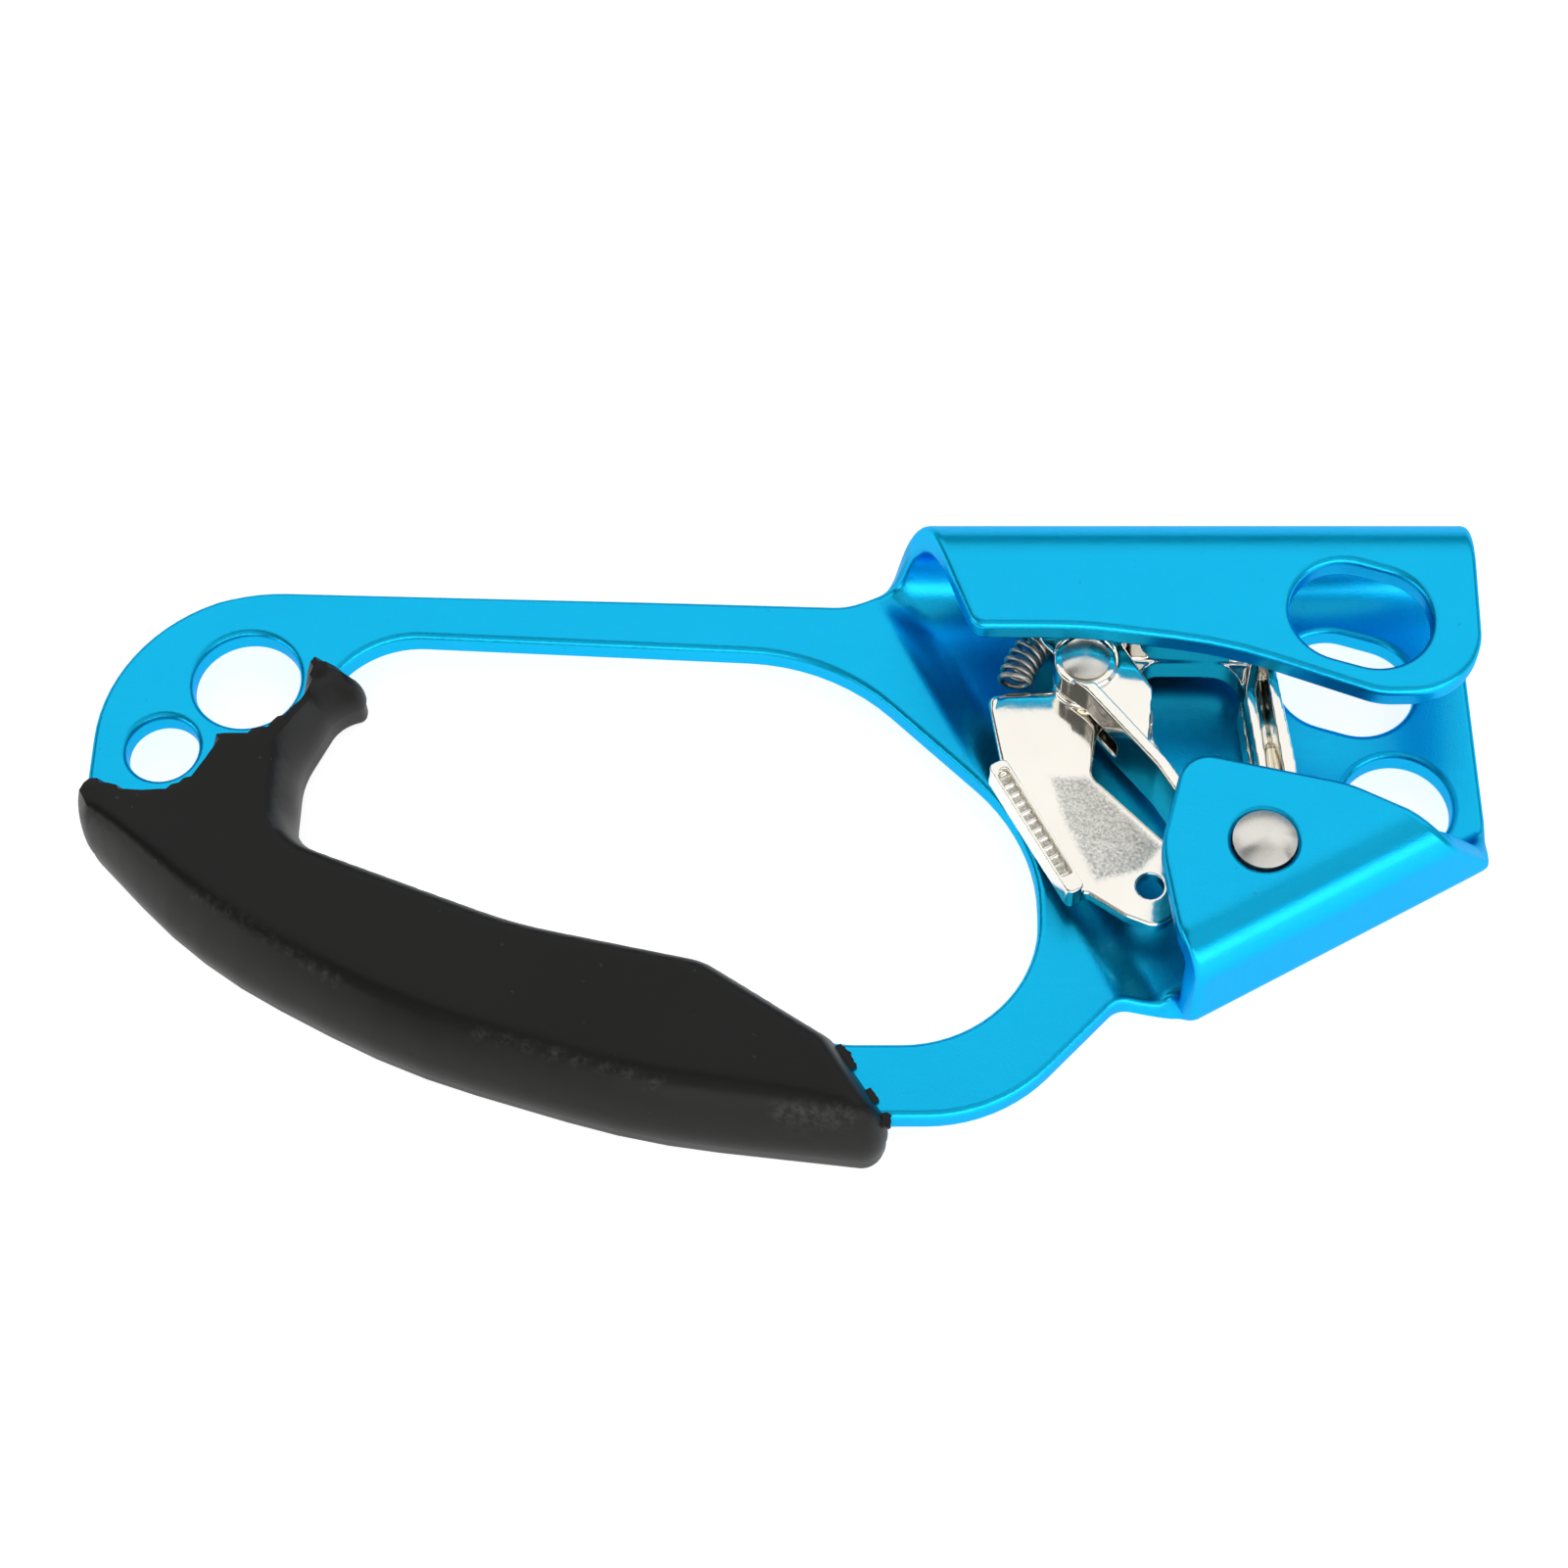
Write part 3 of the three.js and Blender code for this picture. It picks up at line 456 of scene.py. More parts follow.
def scuffed(places):
    """How rubbed each point of the grip is, from 0 to 1, falling off from the marks in SCUFFS."""
    rub = np.zeros(len(places))
    for start, end, half_width in SCUFFS:
        start, end = np.array(start), np.array(end)
        run = np.clip(((places[:, :2] - start) @ (end - start)) / ((end - start) @ (end - start)), 0, 1)
        gap = np.linalg.norm(places[:, :2] - start - run[:, None] * (end - start), axis=1)
        rub = np.maximum(rub, np.exp(-((gap / half_width) ** 2)))
    rub[places[:, 2] < 8] *= 0.2  # the marks fade on the grip's lower sides
    return rub


def make_grip():
    """The rubber grip: a rounded, sloping top over a parting line, straight sides and a flat back."""
    outline = dense(rounded(GRIP), 0.7)
    normal = outward(outline)
    chord = (GRIP_CHORD[1] - GRIP_CHORD[0]) / np.linalg.norm(GRIP_CHORD[1] - GRIP_CHORD[0])
    below = (outline - GRIP_CHORD[0]) @ np.array([chord[1], -chord[0]])
    outer = smooth_step(below, 1.0, 12.0)  # 1 on the side away from the hand opening
    x, y = outline.T
    by_holes = ((x < -129.2) & (y > 9.5)) | ((x < -121) & (y > 31.5))
    width = 2.7 + 2.0 * outer - 1.5 * by_holes  # how far in the sloping side of the top reaches
    reach = 5  # points of the outline that it is averaged over, each way
    weights = np.hanning(2 * reach + 1)
    padded = np.concatenate([width[-reach:], width, width[:reach]])
    width = np.convolve(padded, weights / weights.sum(), "valid")
    parting = 4.4 - 0.8 * outer

    last_ring = outline - normal * GRIP_INSETS[-1]
    grid = np.stack(np.meshgrid(np.arange(-158, -46, 1.05), np.arange(-38, 37, 0.95), indexing="ij"), -1)
    grid[:, ::2, 0] += 0.5
    grid = grid.reshape(-1, 2)
    grid = grid[inside(grid, last_ring)]
    grid = grid[distance(grid, outline)[0] > GRIP_INSETS[-1] + CLOSE_TO_EDGE]
    flat, faces = triangulate([last_ring], grid)
    # the width of the rounding changes smoothly along the outline, so it is averaged over near points
    weight = 1 / (0.6 + np.linalg.norm(flat[:, None] - outline[None], axis=-1)) ** 4
    near_width = (weight * width).sum(1) / weight.sum(1)
    near_parting = (weight * parting).sum(1) / weight.sum(1)
    top = grip_height(distance(flat, outline)[0], near_width, near_parting)
    # a shallow dip across the horn
    top -= 0.35 * np.exp(-(((flat[:, 0] + 122) / 5) ** 2)) * smooth_step(flat[:, 1], 20, 30)

    rings = [(inset, grip_height(inset, width, parting)) for inset in reversed(GRIP_INSETS[:-1])]
    rings += [(inset, parting + drop) for inset, drop in GRIP_UNDERCUT]
    rings += [(inset, np.full(len(outline), z)) for inset, z in GRIP_FOOT]
    vertices = [np.column_stack([flat, top])]
    vertices += [np.column_stack([outline - normal * inset, z]) for inset, z in rings]
    starts = [0] + [len(flat) + len(outline) * k for k in range(len(rings))]
    _, bottom_faces = triangulate([outline - normal * GRIP_FOOT[-1][0]], np.zeros((0, 2)))
    faces = [tuple(f) for f in faces] + [tuple(f[::-1] + starts[-1]) for f in bottom_faces]
    count = len(outline)
    for upper, under in zip(starts, starts[1:]):
        for k in range(count):
            j = (k + 1) % count
            faces.append((upper + k, under + k, under + j, upper + j))
    vertices = np.concatenate(vertices)
    piece = new_object("grip_rubber", vertices, faces)
    paint(piece, "rub", scuffed(vertices))
    crisp(piece, 38)
    return piece


def paint(piece, name, values):
    """One number per vertex, for the piece's material to read."""
    layer = piece.data.attributes.new(name, "FLOAT", "POINT")
    layer.data.foreach_set("value", np.asarray(values, np.float32))


def make_flash():
    """Thin ragged rubber left where the frame comes out of the grip."""
    outline = dense(rounded(GRIP), 0.35)
    normal = outward(outline)
    vertices, faces = [], []
    for low, high, reach in FLASH:
        part = (outline[:, 0] > -54.5) & (outline[:, 1] > low) & (outline[:, 1] < high)
        points, ways = outline[part], normal[part]
        first, last = len(vertices), len(points) - 1
        for k, (point, way) in enumerate(zip(points, ways)):
            ragged = 0.8 + 0.2 * math.sin(2.3 * k) + 0.15 * math.sin(1.1 * k + 1)
            bulge = reach * math.sin(math.pi * (k + 0.5) / (last + 1)) ** 0.5 * ragged
            section = [(FLASH_ROOT, FLASH_LOW), (bulge, FLASH_LOW)]
            section += [(bulge * 0.9, FLASH_TOP), (FLASH_ROOT, FLASH_ROOT_TOP)]
            vertices += [(*(point + way * out), z) for out, z in section]
        for k in range(last):
            for i in range(4):
                j = (i + 1) % 4
                a, b = first + 4 * k, first + 4 * (k + 1)
                faces.append((a + i, a + j, b + j, b + i))
        faces.append(tuple(first + i for i in reversed(range(4))))
        faces.append(tuple(first + 4 * last + i for i in range(4)))
    piece = new_object("grip_flash", vertices, faces)
    crisp(piece, 60)
    return piece


# ---- turned pieces and wire ------------------------------------------------------------------
def lathe(name, profile, x=0.0, y=0.0, sides=72):
    """A turned piece from [radius, height] points; it starts and ends on the axis, or closes."""
    profile = np.array(profile, float)
    loop = profile[0, 0] > 0
    if loop:
        profile = profile[:-1]
    vertices, index = [], []
    for r, z in profile:
        if r < 1e-6:
            index.append([len(vertices)] * sides)
            vertices.append((x, y, z))
        else:
            index.append(list(range(len(vertices), len(vertices) + sides)))
            for k in range(sides):
                a = 2 * math.pi * k / sides
                vertices.append((x + r * math.cos(a), y + r * math.sin(a), z))
    pairs = list(zip(index, index[1:] + ([index[0]] if loop else [])))
    faces = []
    for low, high in pairs[: len(index) if loop else len(index) - 1]:
        for k in range(sides):
            j = (k + 1) % sides
            face = [low[k], low[j], high[j], high[k]]
            face = [v for i, v in enumerate(face) if v not in face[:i]]
            if len(face) > 2:
                faces.append(tuple(face))
    piece = new_object(name, vertices, faces)
    crisp(piece, 40)
    return piece


def crisp(piece, degrees):
    """Smooth shading, with a sharp break where two faces meet at more than that angle."""
    work = bmesh.new()
    work.from_mesh(piece.data)
    bmesh.ops.recalc_face_normals(work, faces=work.faces)
    for edge in work.edges:
        edge.smooth = not edge.is_manifold or edge.calc_face_angle(0) < math.radians(degrees)
    work.to_mesh(piece.data)
    work.free()


def arc(cx, cz, radius, start, stop, steps=6):
    """Profile points on an arc, angles in degrees."""
    return [
        (cx + radius * math.cos(math.radians(a)), cz + radius * math.sin(math.radians(a)))
        for a in np.linspace(start, stop, steps + 1)
    ]


def dome(radius, low, height, steps=12):
    """Profile points of a shallow dome, from its rim to the axis."""
    ball = (radius * radius + height * height) / (2 * height)
    top = math.asin(min(1, radius / ball))
    result = []
    for k in range(steps + 1):
        a = top * (1 - k / steps)
        result.append((ball * math.sin(a) if k < steps else 0.0, low + height - ball + ball * math.cos(a)))
    return result


def wire(name, points, radius, sides=12):
    """Round wire along a smooth path, with slightly rounded ends."""
    points = np.array(points, float)
    along = np.gradient(points, axis=0)
    along /= np.linalg.norm(along, axis=1)[:, None]
    side = np.cross(along[0], (0.0, 0.0, 1.0))
    side /= np.linalg.norm(side)
    rings = []
    turns = np.arange(sides) * 2 * math.pi / sides
    for k, (p, t) in enumerate(zip(points, along)):
        side = side - t * (side @ t)
        side /= np.linalg.norm(side)
        other = np.cross(t, side)
        stations = [(1.0, 0.0)]  # share of the radius, and shift along the wire in radii
        if k == 0:
            stations = [(0.6, -0.35), (1.0, 0.0)]
        elif k == len(points) - 1:
            stations = [(1.0, 0.0), (0.6, 0.35)]
        for share, shift in stations:
            centre = p + t * shift * radius
            size = radius * share
            rings.append([centre + size * (side * math.cos(a) + other * math.sin(a)) for a in turns])
    vertices = [v for ring in rings for v in ring]
    faces = []
    for k in range(len(rings) - 1):
        for i in range(sides):
            j = (i + 1) % sides
            faces.append((k * sides + i, k * sides + j, (k + 1) * sides + j, (k + 1) * sides + i))
    faces.append(tuple(reversed(range(sides))))
    faces.append(tuple((len(rings) - 1) * sides + i for i in range(sides)))
    piece = new_object(name, vertices, faces)
    crisp(piece, 50)
    return piece


# ---- cast pieces: the CAD's solid with softened edges ------------------------------------------
def cast(name, node, voxel, passes, cutter=None):
    """The CAD's solid, less the cutter, remeshed at that voxel size and smoothed."""
    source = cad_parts[node]
    piece = bpy.data.objects.new(name, source.data.copy())
    bpy.context.scene.collection.objects.link(piece)
    piece.data.materials.clear()
    if cutter is not None:
        cut = piece.modifiers.new("cut", "BOOLEAN")
        cut.operation = "DIFFERENCE"
        cut.solver = "EXACT"
        cut.object = cutter
    remesh = piece.modifiers.new("remesh", "REMESH")
    remesh.mode = "VOXEL"
    remesh.voxel_size = voxel
    depsgraph = bpy.context.evaluated_depsgraph_get()
    mesh = bpy.data.meshes.new_from_object(piece.evaluated_get(depsgraph))
    piece.modifiers.clear()
    piece.data = mesh
    if cutter is not None:
        bpy.data.objects.remove(cutter)
    work = bmesh.new()
    work.from_mesh(mesh)
    for _ in range(passes):
        bmesh.ops.smooth_vert(
            work, verts=work.verts, factor=0.5, use_axis_x=True, use_axis_y=True, use_axis_z=True
        )
    work.to_mesh(mesh)
    work.free()
    mesh.shade_smooth()
    return piece


def vertex_places(piece):
    """The piece's vertices in millimetres from the cam's axle."""
    places = np.zeros(len(piece.data.vertices) * 3)
    piece.data.vertices.foreach_get("co", places)
    return places.reshape(-1, 3) / MM - np.array([PIVOT_X, PIVOT_Y, 0.0]) / MM


TRIGGER_TOP = 12.2
ROLL_REACH = 2.0  # how far down the trigger's side the rolled edge is blended
SKIN_DEPTH = 0.16  # of the dish where the cast skin shows
RIDGE_PITCH, RIDGE_HEIGHT = 1.5, 0.6
TRIGGER = [
    [-34.9, 28.9, 1.5], [-34.7, 27.2, 0.1], [-33.1, 17.8, 0.8], [-35, 16, 0.9], [-24.7, -3.2, 0.9],
    [-22.4, -1.6, 1], [-17.4, -5.1, 4], [-13.1, -6.9, 3], [-9.5, -4, 3.4], [-9.5, 2.5, 2],
    [-11.6, 5.8, 2], [-21.1, 15.8, 2], [-20, 23.7, 3], [-17.8, 26.7, 2.6], [-17.8, 34.4, 3.7],
    [-25.6, 34.4, 3.7], [-25.9, 29.3, 0.6],
]
RAIL = [[-35, 16, 0.9], [-24.7, -3.2, 0.9], [-22.5, -2, 0.8], [-32.6, 17.3, 0.9]]
SKIN = [[-27.4, 16.2], [-21.4, 16.2], [-11.4, 5.0], [-14.6, 1.0], [-21.4, -1.0], [-25.5, 8.7]]
POCKET_FROM, POCKET_TO, POCKET_FLOOR = (-32.9, 15.0), (-24.8, -0.2), 12.75


def prism(outline, low, high):
    """A straight block over the outline, between two heights."""
    count = len(outline)
    vertices = [(x, y, z) for z in (low, high) for x, y in outline]
    faces = [tuple(reversed(range(count))), tuple(range(count, 2 * count))]
    faces += [(k, (k + 1) % count, (k + 1) % count + count, k + count) for k in range(count)]
    return new_object("prism", vertices, faces)


def make_trigger():
    """The pressed trigger: rolled upper edge, ridged pocket in its rail, rough dished face."""
    start, end = np.array(POCKET_FROM), np.array(POCKET_TO)
    run = (end - start) / np.linalg.norm(end - start)
    aside = np.array([-run[1], run[0]])
    room = [start - aside * 0.85, end - aside * 0.85, end + aside * 0.75, start + aside * 0.75]
    piece = cast("trigger_casting", "trigger", 0.00015, 4, prism(room, POCKET_FLOOR, 20))
    places = vertex_places(piece)
    upper = (places[:, 2] > TRIGGER_TOP - ROLL_REACH) & (places[:, 2] < TRIGGER_TOP + 0.12)
    upper &= ~inside(places[:, :2], rounded(RAIL))
    outline = dense(rounded(TRIGGER), 1.0)
    gap = np.full(len(places), 9.0)
    gap[upper] = distance(places[upper, :2], outline)[0]
    gap[~inside(places[:, :2], outline)] = 0
    # radius of the rolled edge: larger round the rivet and at the tip
    roll = 0.4 + 1.0 * smooth_step(places[:, 1], 25.5, 28) + 0.45 * smooth_step(-places[:, 0], 32, 33)
    over = np.clip(roll - gap, 0, None)
    drop = roll - np.sqrt(np.maximum(roll * roll - over * over, 0))
    drop *= np.clip((places[:, 2] - TRIGGER_TOP + ROLL_REACH) / ROLL_REACH, 0, 1) * upper
    # how dull and grey each point is: the cast skin on the dished face, and painted shade in the pocket's
    # valleys further down
    skin = np.zeros(len(places))
    patch = np.array(SKIN)
    near = (places[:, 2] > TRIGGER_TOP - 0.3) & upper & inside(places[:, :2], patch)
    skin[near] = smooth_step(distance(places[near, :2], patch)[0], 0, 1.5)
    places[:, 2] -= drop + SKIN_DEPTH * skin
    along = (places[:, :2] - start) @ run
    across = np.abs((places[:, :2] - start) @ aside)
    floor_part = (across < 0.8) & (along > 0.3) & (along < np.linalg.norm(end - start) - 0.3)
    floor_part &= (places[:, 2] > POCKET_FLOOR - 0.3) & (places[:, 2] < POCKET_FLOOR + 0.3)
    ridge = np.cos(math.pi * along / RIDGE_PITCH) ** 4
    places[:, 2] += np.where(floor_part, RIDGE_HEIGHT * ridge, 0)
    # painted shade: the pocket's floor is dulled to grey between the ridges, darkest deep in the valleys
    skin = np.where(floor_part, 0.9 - 0.9 * ridge, skin)
    piece.data.vertices.foreach_set("co", row(places).ravel())
    piece.data.update()
    paint(piece, "skin", skin)
    return piece


# ---- materials ---------------------------------------------------------------------------------
class Nodes:
    """A material's nodes, with a Principled shader at the end."""

    def __init__(self, name, **settings):
        self.material = bpy.data.materials.new(name)
        self.material.use_nodes = True
        self.tree = self.material.node_tree
        self.shader = self.tree.nodes["Principled BSDF"]
        for key, value in settings.items():
            self.shader.inputs[key.replace("_", " ")].default_value = value
        self.place = self.new("ShaderNodeTexCoord").outputs["Object"]

    def new(self, kind, **settings):
        node = self.tree.nodes.new(kind)
        for key, value in settings.items():
            setattr(node, key, value)
        return node

    def link(self, source, target):
        self.tree.links.new(source, target)

    def scaled(self, scale):
        mapping = self.new("ShaderNodeMapping")
        mapping.inputs["Scale"].default_value = scale
        self.link(self.place, mapping.inputs["Vector"])
        return mapping.outputs["Vector"]

    def noise(self, scale, detail=4.0, roughness=0.55, vector=None):
        node = self.new("ShaderNodeTexNoise")
        node.inputs["Scale"].default_value = scale
        node.inputs["Detail"].default_value = detail
        node.inputs["Roughness"].default_value = roughness
        self.link(self.place if vector is None else vector, node.inputs["Vector"])
        return node.outputs["Fac"]

    def ramp(self, value, *stops):
        node = self.new("ShaderNodeValToRGB")
        elements = node.color_ramp.elements
        while len(elements) < len(stops):
            elements.new(0.5)
        for element, (position, colour) in zip(elements, stops):
            element.position = position
            element.color = (*colour, 1) if hasattr(colour, "__len__") else (colour, colour, colour, 1)
        self.link(value, node.inputs["Fac"])
        return node.outputs["Color"]

    def span(self, value, low, high, from_low=0.3, from_high=0.7):
        """The value moved from one range to another."""
        node = self.new("ShaderNodeMapRange")
        node.inputs["From Min"].default_value = from_low
        node.inputs["From Max"].default_value = from_high
        node.inputs["To Min"].default_value = low
        node.inputs["To Max"].default_value = high
        self.link(value, node.inputs["Value"])
        return node.outputs["Result"]

    def maths(self, operation, a, b):
        node = self.new("ShaderNodeMath", operation=operation)
        for socket, value in zip(node.inputs, (a, b)):
            if isinstance(value, (int, float)):
                socket.default_value = value
            else:
                self.link(value, socket)
        return node.outputs["Value"]

    def mix(self, factor, a, b):
        node = self.new("ShaderNodeMix", data_type="RGBA")
        self.link(factor, node.inputs["Factor"])
        for socket, value in ((node.inputs[6], a), (node.inputs[7], b)):
            if isinstance(value, tuple):
                socket.default_value = (*value, 1)
            else:
                self.link(value, socket)
        return node.outputs[2]

    def bump(self, height, strength, depth, after=None):
        node = self.new("ShaderNodeBump")
        node.inputs["Strength"].default_value = strength
        node.inputs["Distance"].default_value = depth
        self.link(height, node.inputs["Height"])
        if after is not None:
            self.link(after, node.inputs["Normal"])
        return node.outputs["Normal"]

    def set(self, socket, value):
        self.link(value, self.shader.inputs[socket])


def anodised_blue():
    """Satin blue anodising, bead-blasted, with faint lengthwise streaks and a few dark pits."""
    tint = (0.25, 0.62, 0.92, 1)
    m = Nodes("anodised_blue", Metallic=1.0, Coat_Weight=0.1, Coat_Roughness=0.12, Specular_Tint=tint)
    cloud = m.noise(90, 3)
    blast = m.noise(3600, 2, 0.6)
    streaks = m.noise(160, 3, 0.6, m.scaled((1, 14, 1)))
    pits = m.ramp(m.noise(900, 1, 0.4), (0.0, 0.0), (0.79, 0.0), (0.81, 1.0))
    base = m.mix(cloud, (0.004, 0.466, 0.80), (0.005, 0.496, 0.838))
    m.set("Base Color", m.mix(m.maths("MULTIPLY", pits, 0.4), base, (0.02, 0.22, 0.42)))
    m.set("Roughness", m.maths("ADD", m.span(streaks, 0.27, 0.33), m.maths("MULTIPLY", blast, 0.05)))
    m.set("Normal", m.bump(blast, 0.5, 0.00006))
    return m.material


def moulded_rubber():
    """Near-black rubber with dust specks, and pale wear where the mesh says rub."""
    m = Nodes("moulded_rubber", Metallic=0.0, Specular_IOR_Level=0.22)
    patch = m.noise(55, 4)
    fine = m.noise(1500, 3, 0.6)
    dust = m.ramp(m.noise(800, 2, 0.5), (0.0, 0.0), (0.75, 0.0), (0.775, 1.0))
    marks = m.ramp(m.noise(900, 4, 0.7), (0.42, 0.0), (0.62, 1.0))
    rub = m.new("ShaderNodeAttribute", attribute_name="rub").outputs["Fac"]
    worn = m.maths("MULTIPLY", rub, marks)
    base = m.mix(patch, (0.0050, 0.0048, 0.0043), (0.0072, 0.0069, 0.0062))
    dusty = m.mix(m.maths("MULTIPLY", dust, 0.25), base, (0.09, 0.086, 0.08))
    m.set("Base Color", m.mix(m.maths("MULTIPLY", worn, 0.5), dusty, (0.075, 0.072, 0.067)))
    m.set("Roughness", m.span(patch, 0.36, 0.46))
    m.set("Normal", m.bump(fine, 0.12, 0.00008))
    return m.material


def chrome(name, with_skin_and_shade):
    """Bright nickel-chrome plating, dulled to grey where the mesh marks it: the cast skin of the trigger's
    dished face, and painted shade between the ridges of its pocket.
    """
    m = Nodes(name, Metallic=1.0)
    cloud = m.noise(140, 3)
    ripple = m.noise(420, 3, 0.55)
    fine = m.noise(2400, 2, 0.6)
    base = m.mix(cloud, (0.88, 0.845, 0.77), (0.945, 0.915, 0.84))
    polish = m.span(fine, 0.07, 0.15)
    soft = m.bump(ripple, 0.12, 0.00012)
    if with_skin_and_shade:
        skin = m.new("ShaderNodeAttribute", attribute_name="skin").outputs["Fac"]
        grit = m.noise(2600, 4, 0.7)
        dull = m.maths("MULTIPLY", skin, m.span(grit, 0.75, 0.0, 0.35, 0.6))
        # the dull grey is the cast skin on the dished face, and painted shade between the pocket's ridges
        base = m.mix(dull, base, (0.34, 0.335, 0.33))
        polish = m.maths("ADD", polish, m.maths("MULTIPLY", skin, 0.12))
        m.set("Normal", m.bump(m.maths("MULTIPLY", skin, grit), 0.9, 0.0002, soft))
    else:
        m.set("Normal", m.bump(fine, 0.07, 0.00004, soft))
    m.set("Base Color", base)
    m.set("Roughness", polish)
    return m.material


def turned_steel(name, dark):
    """Bare steel; dark runs from 0 for turned heads to 1 for the darkest wire."""
    m = Nodes(name, Metallic=1.0, Anisotropic=0.8 * (1 - dark), Anisotropic_Rotation=0.25)
    rings = m.noise(1800, 2, 0.5, m.scaled((1, 1, 6)))
    cloud = m.noise(300, 3)
    light = 0.74 - 0.46 * dark
    low, high = (light * 0.92, light * 0.89, light * 0.82), (light * 1.15, light * 1.11, light * 1.03)
    m.set("Base Color", m.mix(cloud, low, high))
    m.set("Roughness", m.span(cloud, 0.24, 0.34))
    if not dark:
        m.set("Tangent", m.new("ShaderNodeTangent", direction_type="RADIAL", axis="Z").outputs["Tangent"])
    m.set("Normal", m.bump(rings, 0.10, 0.00004))
    return m.material


BLUE = anodised_blue()
RUBBER = moulded_rubber()
CHROME = chrome("cast_chrome", False)
# the trigger's chrome: cast skin on its dish, and painted shade in its pocket's valleys
TRIGGER_CHROME = chrome("cast_chrome_skin", True)
STEEL = turned_steel("turned_steel", 0.0)
SPRING_STEEL = turned_steel("spring_steel", 0.8)


def finish_piece(piece, material, body, slot_name, *nodes):
    """Give the piece its material and the body it moves with, and hide the CAD nodes that it stands for."""
    piece.data.materials.clear()
    piece.data.materials.append(material)
    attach(piece, body)
    if nodes:
        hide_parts(*nodes)


# ---- rivets, rings and springs -----------------------------------------------------------------
HEAD_LOW = FLAP_TOP + 0.06
HEAD_RADIUS, HEAD_HEIGHT = 4.15, 1.3
SHANK = 3.85
RING_BORE = 4.15
RING_BEVEL = 0.12
COIL_STEPS = 40  # points in each turn of a spring
TORSION_LOW, TORSION_HIGH, TORSION_RADIUS, TORSION_TURNS = 15.15, 17.8, 5.75, 3
SPRING_FROM, SPRING_TO, SPRING_BEND = (-31.0, 30.0, 12.0), (-27.6, 36.8, 12.0), 1.6
SPRING_TURNS, SPRING_COIL = 6, 2.05


def make_axle_rivet():
    """The rivet's tail, its shank through the cam, and its shallow domed head on the cheek."""
    profile = [(0.0, 0.05), (4.2, 0.05), *arc(4.3, 0.55, 0.5, -80, 0), (4.8, 1.15)]
    profile += [(SHANK, 1.15), (SHANK, HEAD_LOW), (4.0, HEAD_LOW)]
    profile += [*arc(4.0, HEAD_LOW + 0.15, 0.15, -80, 0, 3), *dome(HEAD_RADIUS, HEAD_LOW + 0.25, HEAD_HEIGHT)]
    return lathe("axle_rivet_turned", profile)


def make_trigger_rivet():
    """The small domed rivet that joins trigger and cam."""
    profile = [(0.0, 7.95), (1.7, 7.95), (1.7, 17.85), (3.1, 17.85), (3.25, 17.95), *dome(3.25, 17.98, 0.82)]
    return lathe("trigger_rivet_turned", profile, -21.7, 30.5)


def make_ring(name, outer, low, high):
    """A sleeve or washer round the axle, with its corners taken off."""
    c = RING_BEVEL
    profile = [(RING_BORE, low + c), (RING_BORE + c, low), (outer - c, low), (outer, low + c)]
    profile += [(outer, high - c), (outer - c, high), (RING_BORE + c, high), (RING_BORE, high - c)]
    return lathe(name, [*profile, profile[0]])


def torsion_coil():
    """Centre line of the cam's spring: a short lower end, three turns, and a straight upper leg."""
    count = TORSION_TURNS * COIL_STEPS
    coil = [(5.55, -1.8, TORSION_LOW)]
    for k in range(count + 1):
        a = 2 * math.pi * k / COIL_STEPS
        z = TORSION_LOW + (TORSION_HIGH - TORSION_LOW) * k / count
        coil.append((TORSION_RADIUS * math.cos(a), TORSION_RADIUS * math.sin(a), z))
    return coil + [(TORSION_RADIUS, 2.5, TORSION_HIGH), (TORSION_RADIUS, 5.0, TORSION_HIGH)]


def trigger_coil():
    """Centre line of the trigger's spring, coiled round a curved axis between its two ends."""
    across, along = SPRING_TO[0] - SPRING_FROM[0], SPRING_TO[1] - SPRING_FROM[1]
    coil = []
    for k in range(SPRING_TURNS * COIL_STEPS + 1):
        share = k / (SPRING_TURNS * COIL_STEPS)
        lean = math.atan2(across * SPRING_BEND * share ** (SPRING_BEND - 1), along)
        a = 2 * math.pi * SPRING_TURNS * share
        x = SPRING_FROM[0] + across * share**SPRING_BEND + SPRING_COIL * math.cos(a) * math.cos(lean)
        y = SPRING_FROM[1] + along * share - SPRING_COIL * math.cos(a) * math.sin(lean)
        coil.append((x, y, SPRING_FROM[2] + SPRING_COIL * math.sin(a)))
    return coil


# ---- the pieces ----------------------------------------------------------------------------------
finish_piece(make_frame(), BLUE, "frame", "anodised", "frame")
finish_piece(make_grip(), RUBBER, "frame", "rubber", "grip")
finish_piece(make_flash(), RUBBER, "frame", "rubber")
finish_piece(cast("cam_casting", "cam", 0.00025, 3), CHROME, "cam", "chrome", "cam")
finish_piece(make_trigger(), TRIGGER_CHROME, "trigger", "chrome", "trigger")
finish_piece(make_axle_rivet(), STEEL, "frame", "steel", "cam_axle_rivet")
finish_piece(make_trigger_rivet(), STEEL, "cam", "steel", "trigger_rivet")
for piece_name, node, outer, low, high in (
    ("sleeve_turned", "axle_sleeve", 4.9, 6.8, 18.2),
    ("lower_washer_turned", "cam_lower_washer", 5.6, 5.8, 6.5),
    ("upper_washer_turned", "cam_upper_washer", 5.6, 18.5, 19.2),
):
    finish_piece(make_ring(piece_name, outer, low, high), STEEL, "frame", "steel", node)
torsion_wire = wire("torsion_spring_wire", torsion_coil(), 0.45)
finish_piece(torsion_wire, SPRING_STEEL, "frame", "steel", "cam_torsion_spring")
# half of the trigger's spring rides with the trigger and half with the cam; neither shortens, so
# their coils overlap when the trigger is pulled
coil = trigger_coil()
halfway = len(coil) // 2
lower_half = wire("trigger_spring_lower", coil[: halfway + 1], 0.42)
finish_piece(lower_half, SPRING_STEEL, "trigger", "steel")
upper_half = wire("trigger_spring_wire", coil[halfway:], 0.42)
finish_piece(upper_half, SPRING_STEEL, "cam", "steel", "trigger_spring")


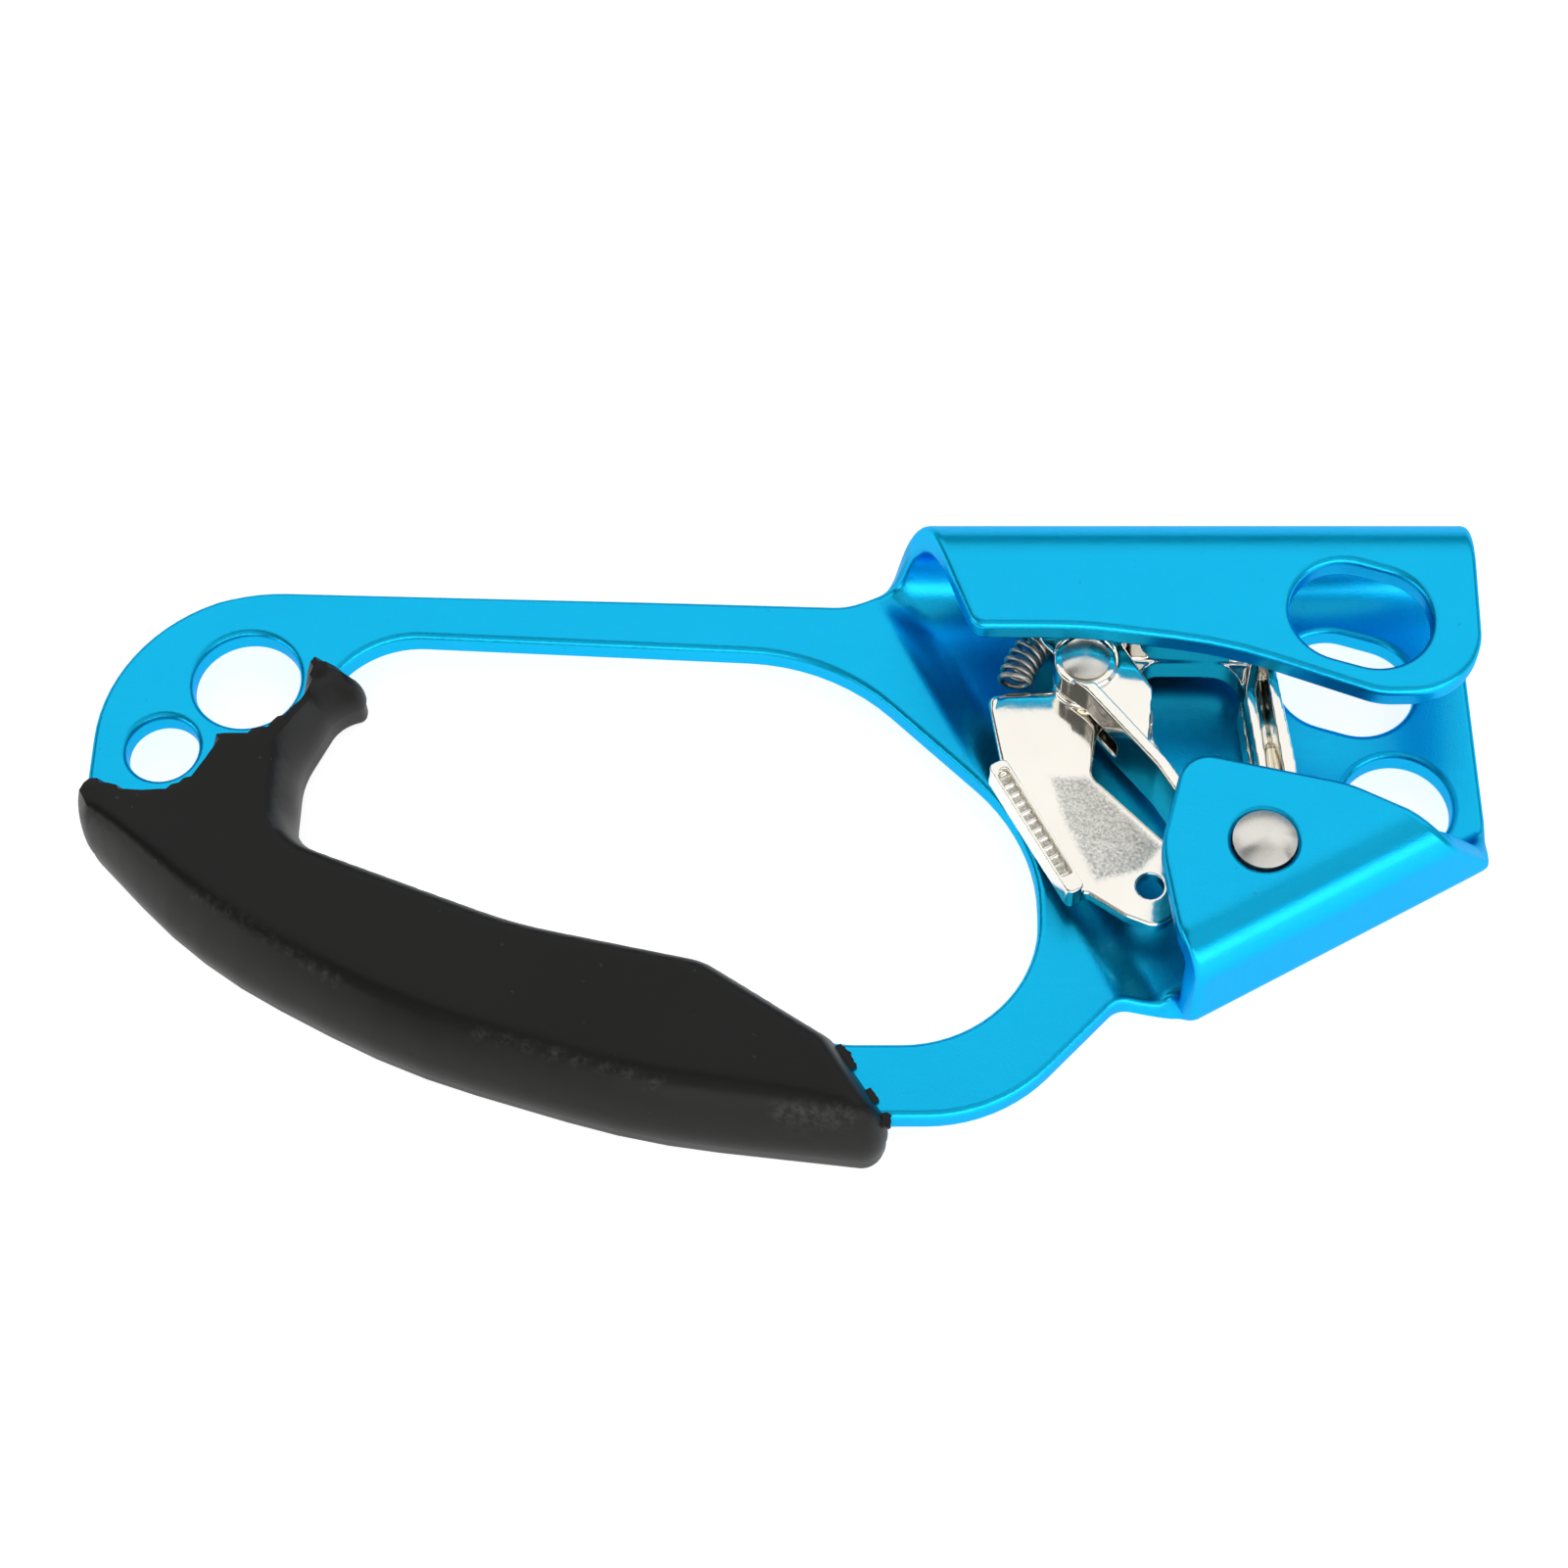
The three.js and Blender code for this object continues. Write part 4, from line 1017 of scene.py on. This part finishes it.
# ---- floor, light and camera -----------------------------------------------------------------------
def floor():
    """A pale plane just under the lowest face; its emission keeps it bright and even."""
    size = 12.0  # metres, like the rest of this section
    level = -0.0002
    vertices = [(-size, -size, level), (size, -size, level), (size, size, level), (-size, size, level)]
    mesh = bpy.data.meshes.new("floor")
    mesh.from_pydata(vertices, [], [(0, 1, 2, 3)])
    piece = bpy.data.objects.new("floor", mesh)
    bpy.context.scene.collection.objects.link(piece)
    m = Nodes("pale_floor", Metallic=0.0)
    m.set("Base Color", m.mix(m.noise(3, 2), (0.50, 0.50, 0.49), (0.54, 0.54, 0.53)))
    m.set("Roughness", m.span(m.noise(40, 2), 0.55, 0.65))
    m.shader.inputs["Emission Color"].default_value = (1, 1, 1, 1)
    m.shader.inputs["Emission Strength"].default_value = 0.8
    mesh.materials.append(m.material)


def area_light(name, place, aim, size, size_y, power):
    """A rectangular softbox at that place, turned towards the aim."""
    data = bpy.data.lights.new(name, "AREA")
    data.shape = "RECTANGLE"
    data.size, data.size_y, data.energy = size, size_y, power
    lamp = bpy.data.objects.new(name, data)
    bpy.context.scene.collection.objects.link(lamp)
    lamp.location = place
    lamp.rotation_euler = (Vector(aim) - Vector(place)).to_track_quat("-Z", "Y").to_euler()


floor()
# one wide box above and behind, one overhead, one low in front, a strip on each side
area_light("back_softbox", (0, 0.62, 0.78), (0, 0.02, 0), 2.4, 1.25, 9.0)
area_light("top_fill", (0.15, -0.42, 0.95), (0, 0, 0), 1.9, 0.75, 2.9)
area_light("front_softbox", (0.36, -0.98, 0.38), (0, 0, 0), 2.4, 0.6, 10.8)
area_light("left_strip", (-1.1, -0.4, 0.26), (0, 0, 0), 1.0, 0.36, 2.6)
area_light("right_strip", (1.1, 0.2, 0.5), (0, 0, 0), 0.8, 0.5, 0.8)

world = bpy.data.worlds.new("studio")
bpy.context.scene.world = world
world.use_nodes = True
background = world.node_tree.nodes["Background"]
background.inputs["Color"].default_value = (0.96, 0.98, 1.0, 1)
background.inputs["Strength"].default_value = 0.1

# camera: azimuth 0, elevation 61 degrees, 434 mm from the point it is aimed at
ELEVATION = math.radians(61.0)
DISTANCE = 434.0
LOOK = np.array([-47.33, 16.78, 8.0])
camera_data = bpy.data.cameras.new("camera")
camera = bpy.data.objects.new("camera", camera_data)
bpy.context.scene.collection.objects.link(camera)
camera.location = row(LOOK + DISTANCE * np.array([0, -math.cos(ELEVATION), math.sin(ELEVATION)]))
camera.rotation_euler = (math.pi / 2 - ELEVATION, 0, 0)
camera_data.sensor_width = 36.0
camera_data.lens = 74.16
camera_data.shift_x = -0.0703
camera_data.clip_start = 0.01
bpy.context.scene.camera = camera
bpy.context.scene.view_settings.view_transform = "Standard"
